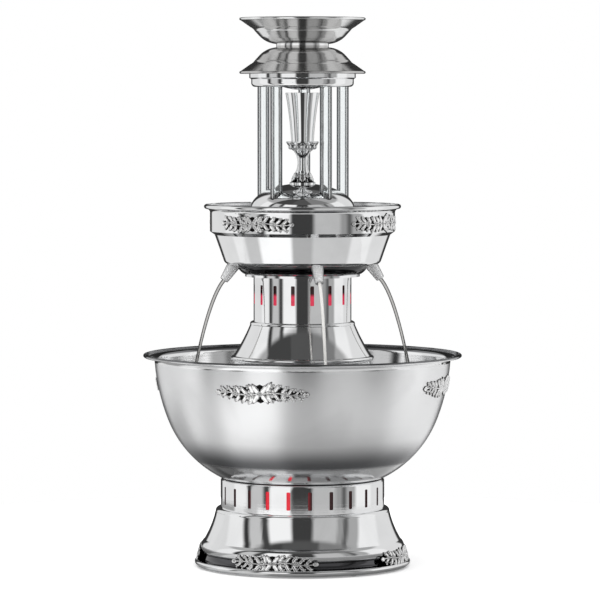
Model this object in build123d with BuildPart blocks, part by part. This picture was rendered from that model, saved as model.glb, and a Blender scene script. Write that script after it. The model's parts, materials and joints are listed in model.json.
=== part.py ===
from build123d import *
import os
from math import cos, radians, sin, sqrt

# A table-top champagne fountain: a lit base with the pump motor, a spun steel bowl that lifts
# off it, a lit column in the bowl, a tier with four spouts, and a crown on five clear tubes.
# Sizes are millimetres. The origin is on the table under the middle, +Z is up, the front is -Y.
# Angles are turned from the front, positive towards +X.

from_plane = (Align.CENTER, Align.CENTER, Align.MIN)

# Sheet, fits and clearances
sheet = 1.2
fit_gap = 0.3
run_gap = 0.05
weld_gap = 0.02
cut_through = 4.8
arc_near = 1 - sqrt(0.5)
arc_far = sqrt(0.5)

# Base skirt
foot_drop = 3.0
base_rim_radius = 142.5
base_bead_radius = 3.5
floor_lip = 13.0
cove_radius = 8.3
bulge_height = 16.7
bulge_rise = 3.8
crease_step = 1.2
cone_height = 36.8
cone_lean = 14.6
cone_hollow = 1.6
shoulder_height = 5.5
shoulder_width = 5.0
shoulder_bow_in = 0.3
shoulder_bow_up = 0.72

# Slotted base drum with its red liner
drum_radius = 108.0
drum_gap = 0.8
drum_lip = 4.0
drum_corner = 2.5
drum_slots = 24
drum_slot_width = 5.0
drum_slot_height = 23.5
drum_slot_rise = 6.0
drum_slot_turn = 5.2
slot_corner = 1.2
liner_wall = 1.6
liner_gap = 0.4
liner_overlap = 1.6

# Floor, feet and deck inside the base
floor_screws_count = 6
screw_radius = 1.5
screw_head_radius = 3.2
screw_head_height = 1.3
screw_grip = 3.0
foot_count = 4
foot_radius = 11.0
foot_inset = 27.0
foot_turn = 45.0
foot_plug_radius = 3.0
foot_barb = 1.0
foot_plug_tip = 3.0
vent_count = 16
vent_circle_radius = 88.0
vent_length = 22.0
vent_width = 4.0
deck_thickness = 1.5
deck_hole_radius = 46.0
post_count = 4
post_inset = 23.0
post_turn = 30.0
post_radius = 5.0
post_rivet_radius = 2.0
post_rivet_head = 3.6
post_rivet_height = 1.4

# Motor under the deck
plate_drop = 9.0
plate_thickness = 2.5
plate_radius = 60.0
plate_boss_circle_radius = 53.0
plate_boss_radius = 4.5
plate_boss_count = 4
can_radius = 33.0
can_wall = 1.5
can_height = 48.0
bearing_radius = 11.0
bearing_height = 6.0
shaft_radius = 4.0
rotor_radius = 19.0
rotor_height = 26.0
air_gap = 0.6
stator_height = 30.0
stator_poles = 8
stator_tooth = 7.0
stator_rim = 3.0
fan_radius = 29.0
fan_hub_radius = 8.0
fan_height = 9.0
fan_blades = 9
fan_blade_wall = 1.6
fan_drop = 4.0
magnet_radius = 38.0
magnet_height = 7.0
magnet_count = 6
magnet_poles_radius = 8.0
drive_gap = 1.5

# Lamps, supply and rear panel of the base
lamp_count = 2
lamp_inset = 17.0
lamp_turn = -17.0
lamp_radius = 8.0
lamp_stem_height = 8.0
lamp_bulb_radius = 6.0
supply_length = 62.0
supply_width = 40.0
supply_height = 36.0
supply_offset = 76.0
panel_width = 76.0
panel_height = 26.0
panel_rise = 42.0
panel_depth = 30.0
panel_proud = 2.0
panel_leg = 10.0
rocker_width = 13.0
rocker_reach = 9.0
rocker_dish = 3.0
rocker_tilt = 12.0
rocker_back = 4.0
rocker_sink = 2.6
rocker_pin_radius = 1.3
rocker_pin_length = 2.0
rocker_spacing = 18.0
rocker_offset = 24.0
inlet_offset = -18.0
inlet_width = 30.0
inlet_height = 20.0
inlet_depth = 24.0
inlet_wall = 3.0
inlet_socket_depth = 16.0
inlet_rim = 1.6
inlet_pin_reach = 9.0
inlet_pin_width = 2.0
inlet_pin_height = 4.0
inlet_pin_spacing = 7.0

# Bowl and the pump on its floor
seat_height = 3.0
seat_width = 10.0
bowl_floor_radius = 94.0
bowl_floor_rise = 112.0
bowl_rim_radius = 210.0
bowl_rim_width = 15.0
bowl_rim_flare = 6.5
bowl_bead_radius = 2.0
bowl_depth = 158.3
belly_draw = 17.4
belly_rise = 82.7
belly_swell = 2.9
pump_radius = 46.0
pump_wall = 2.5
pump_plate = 3.0
pump_height = 20.0
pump_cone_height = 15.0
pump_slots = 8
pump_slot_width = 14.0
pump_slot_height = 8.0
spigot_radius = 10.0
spigot_height = 20.0
axle_radius = 2.0
impeller_radius = 40.0
impeller_disc = 6.0
impeller_vane_height = 8.0
impeller_vanes = 5
impeller_vane_wall = 2.0
impeller_hub_radius = 7.0
riser_radius = 12.0
riser_wall = 2.0
riser_engage = 18.0
pedestal_radius = 60.0
pedestal_holes = 16
pedestal_hole_radius = 4.0
pedestal_hole_rise = 9.0
platform_radius = 91.0
platform_lip = 6.0
platform_rise = 272.0

# Column standing in the bowl
bell_radius = 94.5
bell_bead_radius = 3.4
bell_height = 52.0
bell_neck_radius = 69.0
bell_hollow = 1.5
bell_flange = 8.0
bell_cap_height = 4.5
bell_cap_bow = 0.35
column_radius = 64.5
column_height = 62.0
column_flange = 7.0
column_corner = 2.0
column_slots = 16
column_slot_width = 5.0
column_slot_height = 25.8
column_slot_rise = 23.0
column_slot_turn = 11.25
puck_height = 12.0
puck_bore_gap = 0.1
puck_lamps = 16
puck_lamp_circle_radius = 50.0
puck_lamp_radius = 3.0
puck_lamp_height = 5.0
puck_lamp_round = 2.4

# Tier with its collar, spouts and dome
collar_lip_radius = 75.5
collar_lip_drop = 3.0
collar_inset = 9.5
collar_bow = 3.0
collar_height = 13.0
collar_bead = 1.2
tier_corner_draw = 8.0
tier_corner_height = 6.0
tier_corner_out = 0.7
tier_corner_up = 0.33
tier_taper_draw = 11.6
tier_taper_height = 33.0
tier_band_radius = 121.8
tier_step = 6.2
tier_step_height = 4.5
tier_band_height = 24.5
tier_flare = 5.0
tier_rim_width = 7.9
tier_bead_radius = 3.0
spout_count = 4
spout_turn = 12.0
spout_inset = 5.0
spout_tilt = 34.0
spout_length = 26.0
spout_root_radius = 8.8
spout_tip_radius = 5.6
spout_bore_radius = 3.0
spout_shank_radius = 6.0
spout_shank_length = 14.0
spout_nut_height = 4.0
spout_nut_radius = 8.5
spout_nut_lift = 6.4
hub_radius = 15.0
hub_flange_radius = 24.0
hub_flange_height = 5.0
hub_engage = 15.0
hub_drop = 10.0
hub_pipe_radius = 11.0
hub_pipe_bore = 8.5
hub_pipe_height = 48.0
hub_nut_radius = 22.0
hub_nut_height = 6.0
dome_radius = 68.5
dome_skirt_height = 72.0
dome_rise = 33.0
manifold_radius = 65.0
manifold_height = 14.0
manifold_wall = 2.0
manifold_boss_radius = 9.8
manifold_boss_height = 12.0
manifold_socket = 10.0
manifold_sleeve = 10.0
manifold_sleeve_wall = 4.0

# Vase under the crown
vase_foot_radius = 17.0
vase_foot_height = 14.0
vase_foot_sink = 2.4
vase_waist_radius = 9.8
vase_stem_radius = 6.5
vase_stem_height = 26.0
vase_calyx_height = 15.0
vase_calyx_radius = 21.5
vase_calyx_belly = 0.78
vase_calyx_belly_rise = 0.6
vase_calyx_leaves = 12
vase_leaf_circle_radius = 15.5
vase_leaf_rise = 8.2
vase_leaf_radius = 3.6
vase_trumpet_height = 64.0
vase_trumpet_foot = 14.7
vase_mouth_radius = 22.4
vase_wall = 1.0
vase_peg_radius = 4.0
vase_peg_height = 5.0

# Crown on five clear tubes
tube_count = 5
tube_circle_radius = 55.0
tube_turn = 33.5
tube_radius = 7.94
tube_wall = 3.2
tube_gap = 0.35
tube_length = 170.0
ring_floor_edge = 0.26
ring_corner_width = 4.2
ring_corner = 6.0
ring_height = 10.0
ring_step_width = 2.6
ring_step_height = 2.0
ring_hub_radius = 26.0
ring_hub_drop = 4.0
ring_ports = 10
ring_port_circle_radius = 40.0
ring_port_radius = 2.0
tube_grip = 4.0
crown_height = 54.0
pan_neck_radius = 34.5
pan_foot_height = 2.2
pan_bowl_height = 11.5
pan_bowl_out = 0.56
pan_bowl_up = 0.32
pan_bowl_lean = 7.0
pan_waist_height = 19.0
pan_crease_width = 6.0
pan_crease_inset = 1.5
pan_crease_height = 24.2
pan_crease_out = 0.4
pan_crease_up = 0.55
pan_flare_width = 14.5
pan_flare_height = 9.0
pan_bead_radius = 1.8
peg_radius = 11.0
peg_height = 9.0
peg_head_radius = 16.0
peg_head_height = 3.0

# Cast floral sprays: on the base, the bowl and the tier, four of each
spray_count = 4
spray_sweep = 80.0
spray_depth = 400.0
leaf_pairs = 4
leaf_root = 0.34
leaf_reach = 0.5
leaf_shrink = 0.32
leaf_lean = 0.75
leaf_notch = 0.5
notch_shrink = 0.6
bud_share = 0.3
stem_share = 0.8
stem_width = 0.1
leaf_relief = 1.6
bud_relief = 2.8
base_spray_length = 122.0
base_spray_height = 22.0
base_spray_turn = -16.6
bowl_spray_length = 128.0
bowl_spray_height = 29.0
bowl_spray_turn = -16.4
bowl_spray_rise = 242.0
tier_spray_length = 116.0
tier_spray_height = 20.0
tier_spray_turn = -32.0

# Widths that follow from the rim, the drum, the tier's band and the circle of tubes
bowl_radius = bowl_rim_radius - bowl_rim_width
belly_radius = bowl_radius - belly_draw
lamp_circle_radius = drum_radius - lamp_inset
post_circle_radius = drum_radius - post_inset
tier_rim_radius = tier_band_radius + tier_rim_width
tier_taper_radius = tier_band_radius - tier_step
tier_corner_radius = tier_taper_radius - tier_taper_draw
tier_floor_radius = tier_corner_radius - tier_corner_draw
spout_circle_radius = tier_floor_radius - spout_inset
collar_top_radius = tier_floor_radius - collar_inset
ring_floor_radius = tube_circle_radius + tube_radius + ring_floor_edge
ring_radius = ring_floor_radius + ring_corner_width
ring_rim_radius = ring_radius + ring_step_width
pan_crease_radius = ring_rim_radius - pan_crease_inset
pan_waist_radius = pan_crease_radius - pan_crease_width
pan_bowl_radius = pan_waist_radius - pan_bowl_lean
pan_rim_radius = pan_crease_radius + pan_flare_width

# Heights that follow, from the table up
bead_line = base_rim_radius - base_bead_radius
foot_circle_radius = bead_line - foot_inset
bead_top = foot_drop + 2 * base_bead_radius
cove_line = bead_line - cove_radius
cove_top = bead_top + cove_radius
bulge_top = cove_top + bulge_height
cone_foot = bulge_top + crease_step
cone_top = cone_foot + cone_height
cone_foot_radius = cove_line - crease_step
cone_top_radius = cone_foot_radius - cone_lean
drum_foot = cone_top + shoulder_height
floor_under = foot_drop - sheet
deck_top = bowl_floor_rise - seat_height
deck_under = deck_top - deck_thickness
plate_top = deck_under - plate_drop
plate_under = plate_top - plate_thickness
can_foot = plate_under - can_height
bowl_inside = bowl_floor_rise + sheet
bowl_flare_foot = bowl_floor_rise + bowl_depth
bowl_flange = bowl_flare_foot + bowl_rim_flare
pump_foot = bowl_inside + pump_plate
pump_shoulder = pump_foot + pump_height
spigot_foot = pump_shoulder + pump_cone_height
riser_top = platform_rise + riser_engage
bell_top = platform_rise + bell_height
column_top = bell_top + column_height
tier_under = column_top + collar_height
tier_floor = tier_under + sheet
tier_taper_foot = tier_under + tier_corner_height
tier_taper_top = tier_taper_foot + tier_taper_height
tier_band_foot = tier_taper_top + tier_step_height
tier_band_top = tier_band_foot + tier_band_height
dome_shoulder = tier_floor + dome_skirt_height
dome_top = dome_shoulder + dome_rise
manifold_foot = tier_floor + hub_flange_height + hub_pipe_height - manifold_wall
manifold_top = manifold_foot + manifold_height
tube_foot = manifold_top + manifold_boss_height - manifold_socket
tube_top = tube_foot + tube_length
ring_under = tube_top - sheet - tube_grip
ring_band_top = ring_under + ring_height
ring_step_top = ring_band_top + ring_step_height
neck = ring_under + crown_height
vase_foot_top = dome_top + vase_foot_height
vase_stem_top = vase_foot_top + vase_stem_height
vase_calyx_top = vase_stem_top + vase_calyx_height


def ring(outer, inner, bottom, top):
    """A plain ring about the fountain's axis between two heights."""
    with BuildPart() as body:
        with BuildSketch(Plane.XY.offset(bottom)):
            Circle(outer)
            if inner > 0:
                Circle(inner, mode=Mode.SUBTRACT)
        extrude(amount=top - bottom)
    return body.part


def facing(turn, height, radius=0.0):
    """A plane that looks outwards at an angle from the front, with its X level and its Y up."""
    out = Vector(sin(radians(turn)), -cos(radians(turn)), 0)
    level = Vector(cos(radians(turn)), sin(radians(turn)), 0)
    return Plane(origin=out * radius + Vector(0, 0, height), x_dir=level, z_dir=out)


def upright(turn):
    """An upright plane through the axis, with its X outwards at an angle from the front."""
    out = facing(turn, 0).z_dir
    return Plane(origin=(0, 0, 0), x_dir=out, z_dir=out.cross(Vector(0, 0, 1)))


def slot_cutter(turn, radius, width, height, foot):
    """One upright slot with eased corners through a drum's wall."""
    with BuildPart() as cutter:
        with BuildSketch(facing(turn, foot + height / 2, radius)):
            RectangleRounded(width, height, slot_corner)
        extrude(amount=cut_through, both=True)
    return cutter.part


def spray_outline(length, height):
    """A spray seen square on: pointed leaves that shrink from the middle out to both tips."""
    edge = [(0, height * leaf_root)]
    for step in range(leaf_pairs):
        near = step / leaf_pairs
        far = (step + 1) / leaf_pairs
        tip = height * (leaf_reach - leaf_shrink * near)
        edge.append((length / 2 * (near + (far - near) * leaf_lean), tip))
        edge.append((length / 2 * far, tip * leaf_notch * (1 - far * notch_shrink)))
    edge[-1] = (length / 2, 0)
    below = [(out, -up) for out, up in reversed(edge[:-1])]
    right = edge + below
    left = [(-out, up) for out, up in reversed(right[1:-1])]
    with BuildSketch() as outline:
        with BuildLine():
            Polyline(*right, *left, close=True)
        make_face()
    return outline.sketch


def turned_shell(points, relief):
    """A thin shell turned about the axis at the front, standing out from a line or a round arc."""
    with BuildPart() as shell:
        with BuildSketch(upright(-spray_sweep / 2)):
            with BuildLine():
                if len(points) == 3:
                    ThreePointArc(*points)
                else:
                    Line(*points)
                offset(amount=relief, side=Side.RIGHT)
            make_face()
        revolve(axis=Axis.Z, revolution_arc=spray_sweep)
    return shell.part


def sprays(points, length, height, turn, rise):
    """Four castings that follow the sheet: leaves in low relief round a rosette and its stem."""
    with BuildPart() as leaves:
        with BuildSketch(facing(0, rise)):
            add(spray_outline(length, height))
        extrude(amount=spray_depth)
        add(turned_shell(points, leaf_relief), mode=Mode.INTERSECT)
    with BuildPart() as rosette:
        with BuildSketch(facing(0, rise)):
            Circle(height * bud_share)
            Rectangle(length * stem_share, height * stem_width)
        extrude(amount=spray_depth)
        add(turned_shell(points, bud_relief), mode=Mode.INTERSECT)
    with BuildPart() as casting:
        add(leaves.part)
        add(rosette.part)
    with BuildPart() as castings:
        with PolarLocations(0, spray_count, start_angle=turn):
            add(casting.part)
    return castings.part


os.makedirs("parts", exist_ok=True)


def keep(piece, name):
    """Label a finished piece and write it."""
    piece.label = name
    export_step(piece, f"parts/{name}.step")


# The spun skirt: a beaded rim, a cove, a bulge and a hollow cone up to the drum
panel_face = cone_foot_radius + panel_proud
panel_middle = panel_rise + panel_height / 2

with BuildPart() as base_skirt:
    with BuildSketch(Plane.XZ):
        with BuildLine():
            Line((bead_line - floor_lip, foot_drop), (bead_line, foot_drop))
            ThreePointArc(
                (bead_line, foot_drop),
                (base_rim_radius, foot_drop + base_bead_radius),
                (bead_line, bead_top),
            )
            ThreePointArc(
                (bead_line, bead_top),
                (bead_line - cove_radius * arc_far, cove_top - cove_radius * arc_far),
                (cove_line, cove_top),
            )
            ThreePointArc(
                (cove_line, cove_top),
                (cove_line + bulge_rise, cove_top + bulge_height / 2),
                (cove_line, bulge_top),
            )
            Line((cove_line, bulge_top), (cone_foot_radius, cone_foot))
            ThreePointArc(
                (cone_foot_radius, cone_foot),
                ((cone_foot_radius + cone_top_radius) / 2 - cone_hollow, (cone_foot + cone_top) / 2),
                (cone_top_radius, cone_top),
            )
            ThreePointArc(
                (cone_top_radius, cone_top),
                (
                    cone_top_radius - shoulder_width * shoulder_bow_in,
                    cone_top + shoulder_height * shoulder_bow_up,
                ),
                (cone_top_radius - shoulder_width, drum_foot),
            )
            Line((cone_top_radius - shoulder_width, drum_foot), (drum_radius - drum_lip, drum_foot))
            offset(amount=sheet, side=Side.LEFT)
        make_face()
    revolve(axis=Axis.Z)
    with Locations((0, panel_face - panel_depth / 2, panel_middle)):
        Box(
            panel_width + 2 * fit_gap,
            2 * panel_depth,
            panel_height + 2 * fit_gap,
            mode=Mode.SUBTRACT,
        )
    with Locations((0, 0, foot_drop)):
        with PolarLocations(bead_line - floor_lip / 2, floor_screws_count):
            Cylinder(screw_radius + run_gap, cut_through, mode=Mode.SUBTRACT)
keep(base_skirt.part, "base_skirt")

# The floor under the skirt's lip, with vents, and the screws that hold it
with BuildPart() as base_floor:
    with BuildSketch(Plane.XY.offset(floor_under)):
        Circle(bead_line)
        with PolarLocations(vent_circle_radius, vent_count, start_angle=360 / vent_count / 2):
            SlotOverall(vent_length, vent_width, mode=Mode.SUBTRACT)
        with PolarLocations(bead_line - floor_lip / 2, floor_screws_count):
            Circle(screw_radius + run_gap, mode=Mode.SUBTRACT)
        with PolarLocations(foot_circle_radius, foot_count, start_angle=foot_turn):
            Circle(foot_plug_radius, mode=Mode.SUBTRACT)
        with PolarLocations(post_circle_radius, post_count, start_angle=post_turn):
            Circle(post_rivet_radius, mode=Mode.SUBTRACT)
    extrude(amount=sheet)
keep(base_floor.part, "base_floor")

with BuildPart() as floor_screws:
    with PolarLocations(bead_line - floor_lip / 2, floor_screws_count):
        with Locations((0, 0, floor_under - screw_head_height)):
            Cylinder(
                screw_head_radius,
                screw_head_height,
                align=from_plane,
            )
            Cylinder(
                screw_radius,
                screw_head_height + 2 * sheet + screw_grip,
                align=from_plane,
            )
keep(floor_screws.part, "floor_screws")

# Rubber feet, each with a barbed plug through the floor
with BuildPart() as rubber_foot:
    with BuildSketch(Plane.XZ):
        with BuildLine():
            Polyline(
                (0, 0),
                (foot_radius - foot_barb, 0),
                (foot_radius, floor_under),
                (foot_plug_radius, floor_under),
                (foot_plug_radius, floor_under + sheet),
                (foot_plug_radius + foot_barb, floor_under + sheet),
                (foot_plug_radius - foot_barb, floor_under + sheet + foot_plug_tip),
                (0, floor_under + sheet + foot_plug_tip),
                close=True,
            )
        make_face()
    revolve(axis=Axis.Z)

with BuildPart() as rubber_feet:
    with PolarLocations(foot_circle_radius, foot_count, start_angle=foot_turn):
        add(rubber_foot.part)
keep(rubber_feet.part, "rubber_feet")

# The bowl's outer line: flat floor, two round arcs up to the wall, a flared flange and a bead
belly_foot = bowl_floor_rise + belly_rise
belly_middle = (
    (belly_radius + bowl_radius) / 2 + belly_swell,
    (belly_foot + bowl_flare_foot) / 2,
)
bowl_bead_line = bowl_rim_radius - bowl_bead_radius
with BuildLine() as bowl_line:
    belly = ThreePointArc(
        (belly_radius, belly_foot),
        belly_middle,
        (bowl_radius, bowl_flare_foot),
    )
    Line((0, bowl_floor_rise), (bowl_floor_radius, bowl_floor_rise))
    bowl_bottom = TangentArc(
        (belly_radius, belly_foot),
        (bowl_floor_radius, bowl_floor_rise),
        tangent=-(belly % 0),
    )
    ThreePointArc(
        (bowl_radius, bowl_flare_foot),
        (
            bowl_radius + bowl_rim_flare * arc_near,
            bowl_flare_foot + bowl_rim_flare * arc_far,
        ),
        (bowl_radius + bowl_rim_flare, bowl_flange),
    )
    Line((bowl_radius + bowl_rim_flare, bowl_flange), (bowl_bead_line, bowl_flange))
    ThreePointArc(
        (bowl_bead_line, bowl_flange),
        (bowl_rim_radius, bowl_flange + bowl_bead_radius),
        (bowl_bead_line, bowl_flange + 2 * bowl_bead_radius),
    )

# The drum's lip stops just short of the bowl's underside
lip_radius = drum_radius - drum_corner
bowl_middle = bowl_bottom.arc_center
bowl_reach = sqrt(bowl_bottom.radius**2 - (lip_radius - bowl_middle.X) ** 2)
drum_top = bowl_middle.Y - bowl_reach - drum_gap

# The slotted drum on the skirt, its lip turned in under the bowl
with BuildPart() as base_drum:
    with BuildSketch(Plane.XZ):
        with BuildLine():
            Polyline(
                (drum_radius - drum_lip, drum_foot),
                (drum_radius, drum_foot),
                (drum_radius, drum_top - drum_corner),
            )
            ThreePointArc(
                (drum_radius, drum_top - drum_corner),
                (drum_radius - drum_corner * arc_near, drum_top - drum_corner * arc_near),
                (lip_radius, drum_top),
            )
            offset(amount=sheet, side=Side.LEFT)
        make_face()
    revolve(axis=Axis.Z)
    drum_slot = slot_cutter(
        drum_slot_turn, drum_radius, drum_slot_width, drum_slot_height, drum_foot + drum_slot_rise
    )
    with PolarLocations(0, drum_slots):
        add(drum_slot, mode=Mode.SUBTRACT)
keep(base_drum.part, "base_drum")

# The red liner stands on the drum's flange, behind the slots
liner_radius = drum_radius - sheet - liner_gap
with BuildPart() as base_liner:
    add(
        ring(
            liner_radius,
            liner_radius - liner_wall,
            drum_foot + sheet,
            drum_foot + drum_slot_rise + drum_slot_height + liner_overlap,
        )
    )
keep(base_liner.part, "base_liner")

# The deck that carries the bowl, on riveted posts from the floor
with BuildPart() as deck:
    with BuildSketch(Plane.XY.offset(deck_under)):
        Circle(liner_radius - liner_wall - fit_gap)
        Circle(deck_hole_radius, mode=Mode.SUBTRACT)
        with PolarLocations(post_circle_radius, post_count, start_angle=post_turn):
            Circle(post_rivet_radius, mode=Mode.SUBTRACT)
    extrude(amount=deck_thickness)
keep(deck.part, "deck")

with BuildPart() as deck_post:
    with BuildSketch(Plane.XZ):
        with BuildLine():
            Polyline(
                (0, floor_under - post_rivet_height),
                (post_rivet_head, floor_under - post_rivet_height),
                (post_rivet_head, floor_under),
                (post_rivet_radius, floor_under),
                (post_rivet_radius, foot_drop),
                (post_radius, foot_drop),
                (post_radius, deck_under),
                (post_rivet_radius, deck_under),
                (post_rivet_radius, deck_top),
                (post_rivet_head, deck_top),
                (post_rivet_head, deck_top + post_rivet_height),
                (0, deck_top + post_rivet_height),
                close=True,
            )
        make_face()
    revolve(axis=Axis.Z)

with BuildPart() as deck_posts:
    with PolarLocations(post_circle_radius, post_count, start_angle=post_turn):
        add(deck_post.part)
keep(deck_posts.part, "deck_posts")

# The soft ring on the deck that the bowl rests on, inside the row of rivets
seat_outer = post_circle_radius - post_rivet_head - fit_gap
with BuildPart() as bowl_seat:
    add(ring(seat_outer, seat_outer - seat_width, deck_top, bowl_floor_rise))
keep(bowl_seat.part, "bowl_seat")

# The motor: a plate hung from the deck on bosses, a can, a toothed stator and two bearings
with BuildPart() as motor_plate:
    with BuildSketch(Plane.XY.offset(plate_under)):
        Circle(plate_radius)
        Circle(bearing_radius, mode=Mode.SUBTRACT)
    extrude(amount=plate_thickness)
    with BuildSketch(Plane.XY.offset(plate_top)):
        with PolarLocations(plate_boss_circle_radius, plate_boss_count, start_angle=foot_turn):
            Circle(plate_boss_radius)
    extrude(amount=plate_drop)
keep(motor_plate.part, "motor_plate")

with BuildPart() as motor_can:
    add(ring(can_radius, can_radius - can_wall, can_foot, plate_under))
    add(ring(can_radius, bearing_radius, can_foot, can_foot + bearing_height))
keep(motor_can.part, "motor_can")

bearing_top = plate_top
with BuildPart() as motor_bearings:
    add(ring(bearing_radius, shaft_radius + run_gap, can_foot, can_foot + bearing_height))
    add(ring(bearing_radius, shaft_radius + run_gap, bearing_top - bearing_height, bearing_top))
keep(motor_bearings.part, "motor_bearings")

stator_foot = can_foot + (can_height - stator_height) / 2
with BuildPart() as motor_stator:
    with BuildSketch(Plane.XY.offset(stator_foot)):
        Circle(can_radius - can_wall)
        Circle(can_radius - can_wall - stator_rim, mode=Mode.SUBTRACT)
        with PolarLocations((can_radius + rotor_radius) / 2 - can_wall, stator_poles):
            Rectangle(can_radius - rotor_radius - 2 * can_wall, stator_tooth)
        Circle(rotor_radius + air_gap, mode=Mode.SUBTRACT)
    extrude(amount=stator_height)
keep(motor_stator.part, "motor_stator")

# What turns with the motor: shaft, rotor, cooling fan below and the drive magnet above
shaft_foot = can_foot - fan_drop - fan_height
magnet_top = bowl_floor_rise - drive_gap
magnet_foot = magnet_top - magnet_height
with BuildPart() as motor_shaft:
    add(ring(shaft_radius, 0, shaft_foot, magnet_top - sheet))
keep(motor_shaft.part, "motor_shaft")

rotor_foot = can_foot + (can_height - rotor_height) / 2
with BuildPart() as rotor_core:
    add(ring(rotor_radius, shaft_radius, rotor_foot, rotor_foot + rotor_height))
keep(rotor_core.part, "rotor_core")

with BuildPart() as cooling_fan:
    add(ring(fan_hub_radius, shaft_radius, shaft_foot, shaft_foot + fan_height))
    add(ring(fan_radius, shaft_radius, shaft_foot + fan_height - fan_blade_wall, shaft_foot + fan_height))
    with BuildSketch(Plane.XY.offset(shaft_foot)):
        with PolarLocations((fan_radius + fan_hub_radius) / 2, fan_blades):
            Rectangle(fan_radius - fan_hub_radius + fan_blade_wall / 2, fan_blade_wall)
    extrude(amount=fan_height)
keep(cooling_fan.part, "cooling_fan")

with BuildPart() as drive_magnet:
    add(ring(magnet_radius, shaft_radius, magnet_foot, magnet_top - sheet))
    with BuildSketch(Plane.XY.offset(magnet_top - sheet)):
        with PolarLocations(magnet_radius - magnet_poles_radius - sheet, magnet_count):
            Circle(magnet_poles_radius)
    extrude(amount=sheet)
keep(drive_magnet.part, "drive_magnet")

# Lamps hung from the deck behind the liner
with BuildPart() as base_lamp:
    with BuildSketch(Plane.XZ):
        with BuildLine():
            bulb_middle = deck_under - lamp_stem_height - lamp_bulb_radius
            Polyline(
                (0, bulb_middle - lamp_bulb_radius),
                (0, deck_under),
                (lamp_radius, deck_under),
                (lamp_radius, deck_under - lamp_stem_height),
                (lamp_bulb_radius, deck_under - lamp_stem_height),
                (lamp_bulb_radius, bulb_middle),
            )
            ThreePointArc(
                (lamp_bulb_radius, bulb_middle),
                (lamp_bulb_radius * arc_far, bulb_middle - lamp_bulb_radius * arc_far),
                (0, bulb_middle - lamp_bulb_radius),
            )
        make_face()
    revolve(axis=Axis.Z)

with BuildPart() as base_lamps:
    with PolarLocations(lamp_circle_radius, lamp_count, start_angle=lamp_turn - 90):
        add(base_lamp.part)
keep(base_lamps.part, "base_lamps")

# The power supply on the floor
with BuildPart() as power_supply:
    with Locations((-supply_offset, 0, foot_drop)):
        Box(
            supply_width,
            supply_length,
            supply_height,
            align=from_plane,
        )
    fillet(power_supply.edges().filter_by(Axis.Z), radius=2 * sheet)
    chamfer(power_supply.faces().sort_by(Axis.Z)[-1].edges(), length=sheet)
keep(power_supply.part, "power_supply")

# The rear panel comes out through the skirt on a leg from the floor, with pockets for its fittings
pivot_depth = panel_face - rocker_sink
rocker_swing = sqrt(rocker_reach**2 + (rocker_dish + rocker_reach * sin(radians(rocker_tilt))) ** 2)
rocker_places = [rocker_offset - rocker_spacing / 2, rocker_offset + rocker_spacing / 2]
pocket_depth = rocker_sink + rocker_swing

with BuildPart() as rear_panel:
    with Locations((0, panel_face - panel_depth / 2, panel_middle)):
        Box(panel_width, panel_depth, panel_height)
    fillet(rear_panel.edges().filter_by(Axis.Y), radius=slot_corner)
    with Locations((0, panel_face - panel_depth + panel_leg / 2, foot_drop)):
        Box(
            panel_width,
            panel_leg,
            panel_rise - foot_drop + slot_corner,
            align=from_plane,
        )
    for place in rocker_places:
        with Locations((place, panel_face - pocket_depth / 2, panel_middle)):
            Box(
                rocker_width + 2 * fit_gap,
                pocket_depth,
                2 * (rocker_swing + fit_gap),
                mode=Mode.SUBTRACT,
            )
        with Locations((place, pivot_depth, panel_middle)):
            Cylinder(
                rocker_pin_radius + run_gap,
                rocker_width + 2 * (rocker_pin_length + fit_gap),
                rotation=(0, 90, 0),
                mode=Mode.SUBTRACT,
            )
    with Locations((inlet_offset, panel_face - inlet_depth / 2, panel_middle)):
        Box(
            inlet_width + 2 * weld_gap,
            inlet_depth,
            inlet_height + 2 * weld_gap,
            mode=Mode.SUBTRACT,
        )
keep(rear_panel.part, "rear_panel")

# Two rockers on side pins, each drawn with its lower half pressed in
rocker_plane_x = (0, cos(radians(-rocker_tilt)), sin(radians(-rocker_tilt)))
rocker_lip = rocker_dish + rocker_reach * sin(radians(rocker_tilt))
rocker_heel = sqrt(rocker_swing**2 - rocker_back**2)
for place, name in zip(rocker_places, ("pump_rocker", "lamp_rocker")):
    middle = Plane(
        origin=(place, pivot_depth, panel_middle),
        x_dir=rocker_plane_x,
        z_dir=(1, 0, 0),
    )
    with BuildPart() as rocker:
        with BuildSketch(middle):
            with BuildLine():
                Polyline((rocker_lip, rocker_reach), (rocker_dish, 0), (rocker_lip, -rocker_reach))
                ThreePointArc((rocker_lip, -rocker_reach), (0, -rocker_swing), (-rocker_back, -rocker_heel))
                Line((-rocker_back, -rocker_heel), (-rocker_back, rocker_heel))
                ThreePointArc((-rocker_back, rocker_heel), (0, rocker_swing), (rocker_lip, rocker_reach))
            make_face()
        extrude(amount=rocker_width / 2, both=True)
        with BuildSketch(middle):
            Circle(rocker_pin_radius)
        extrude(amount=rocker_width / 2 + rocker_pin_length, both=True)
    keep(rocker.part, name)

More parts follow.
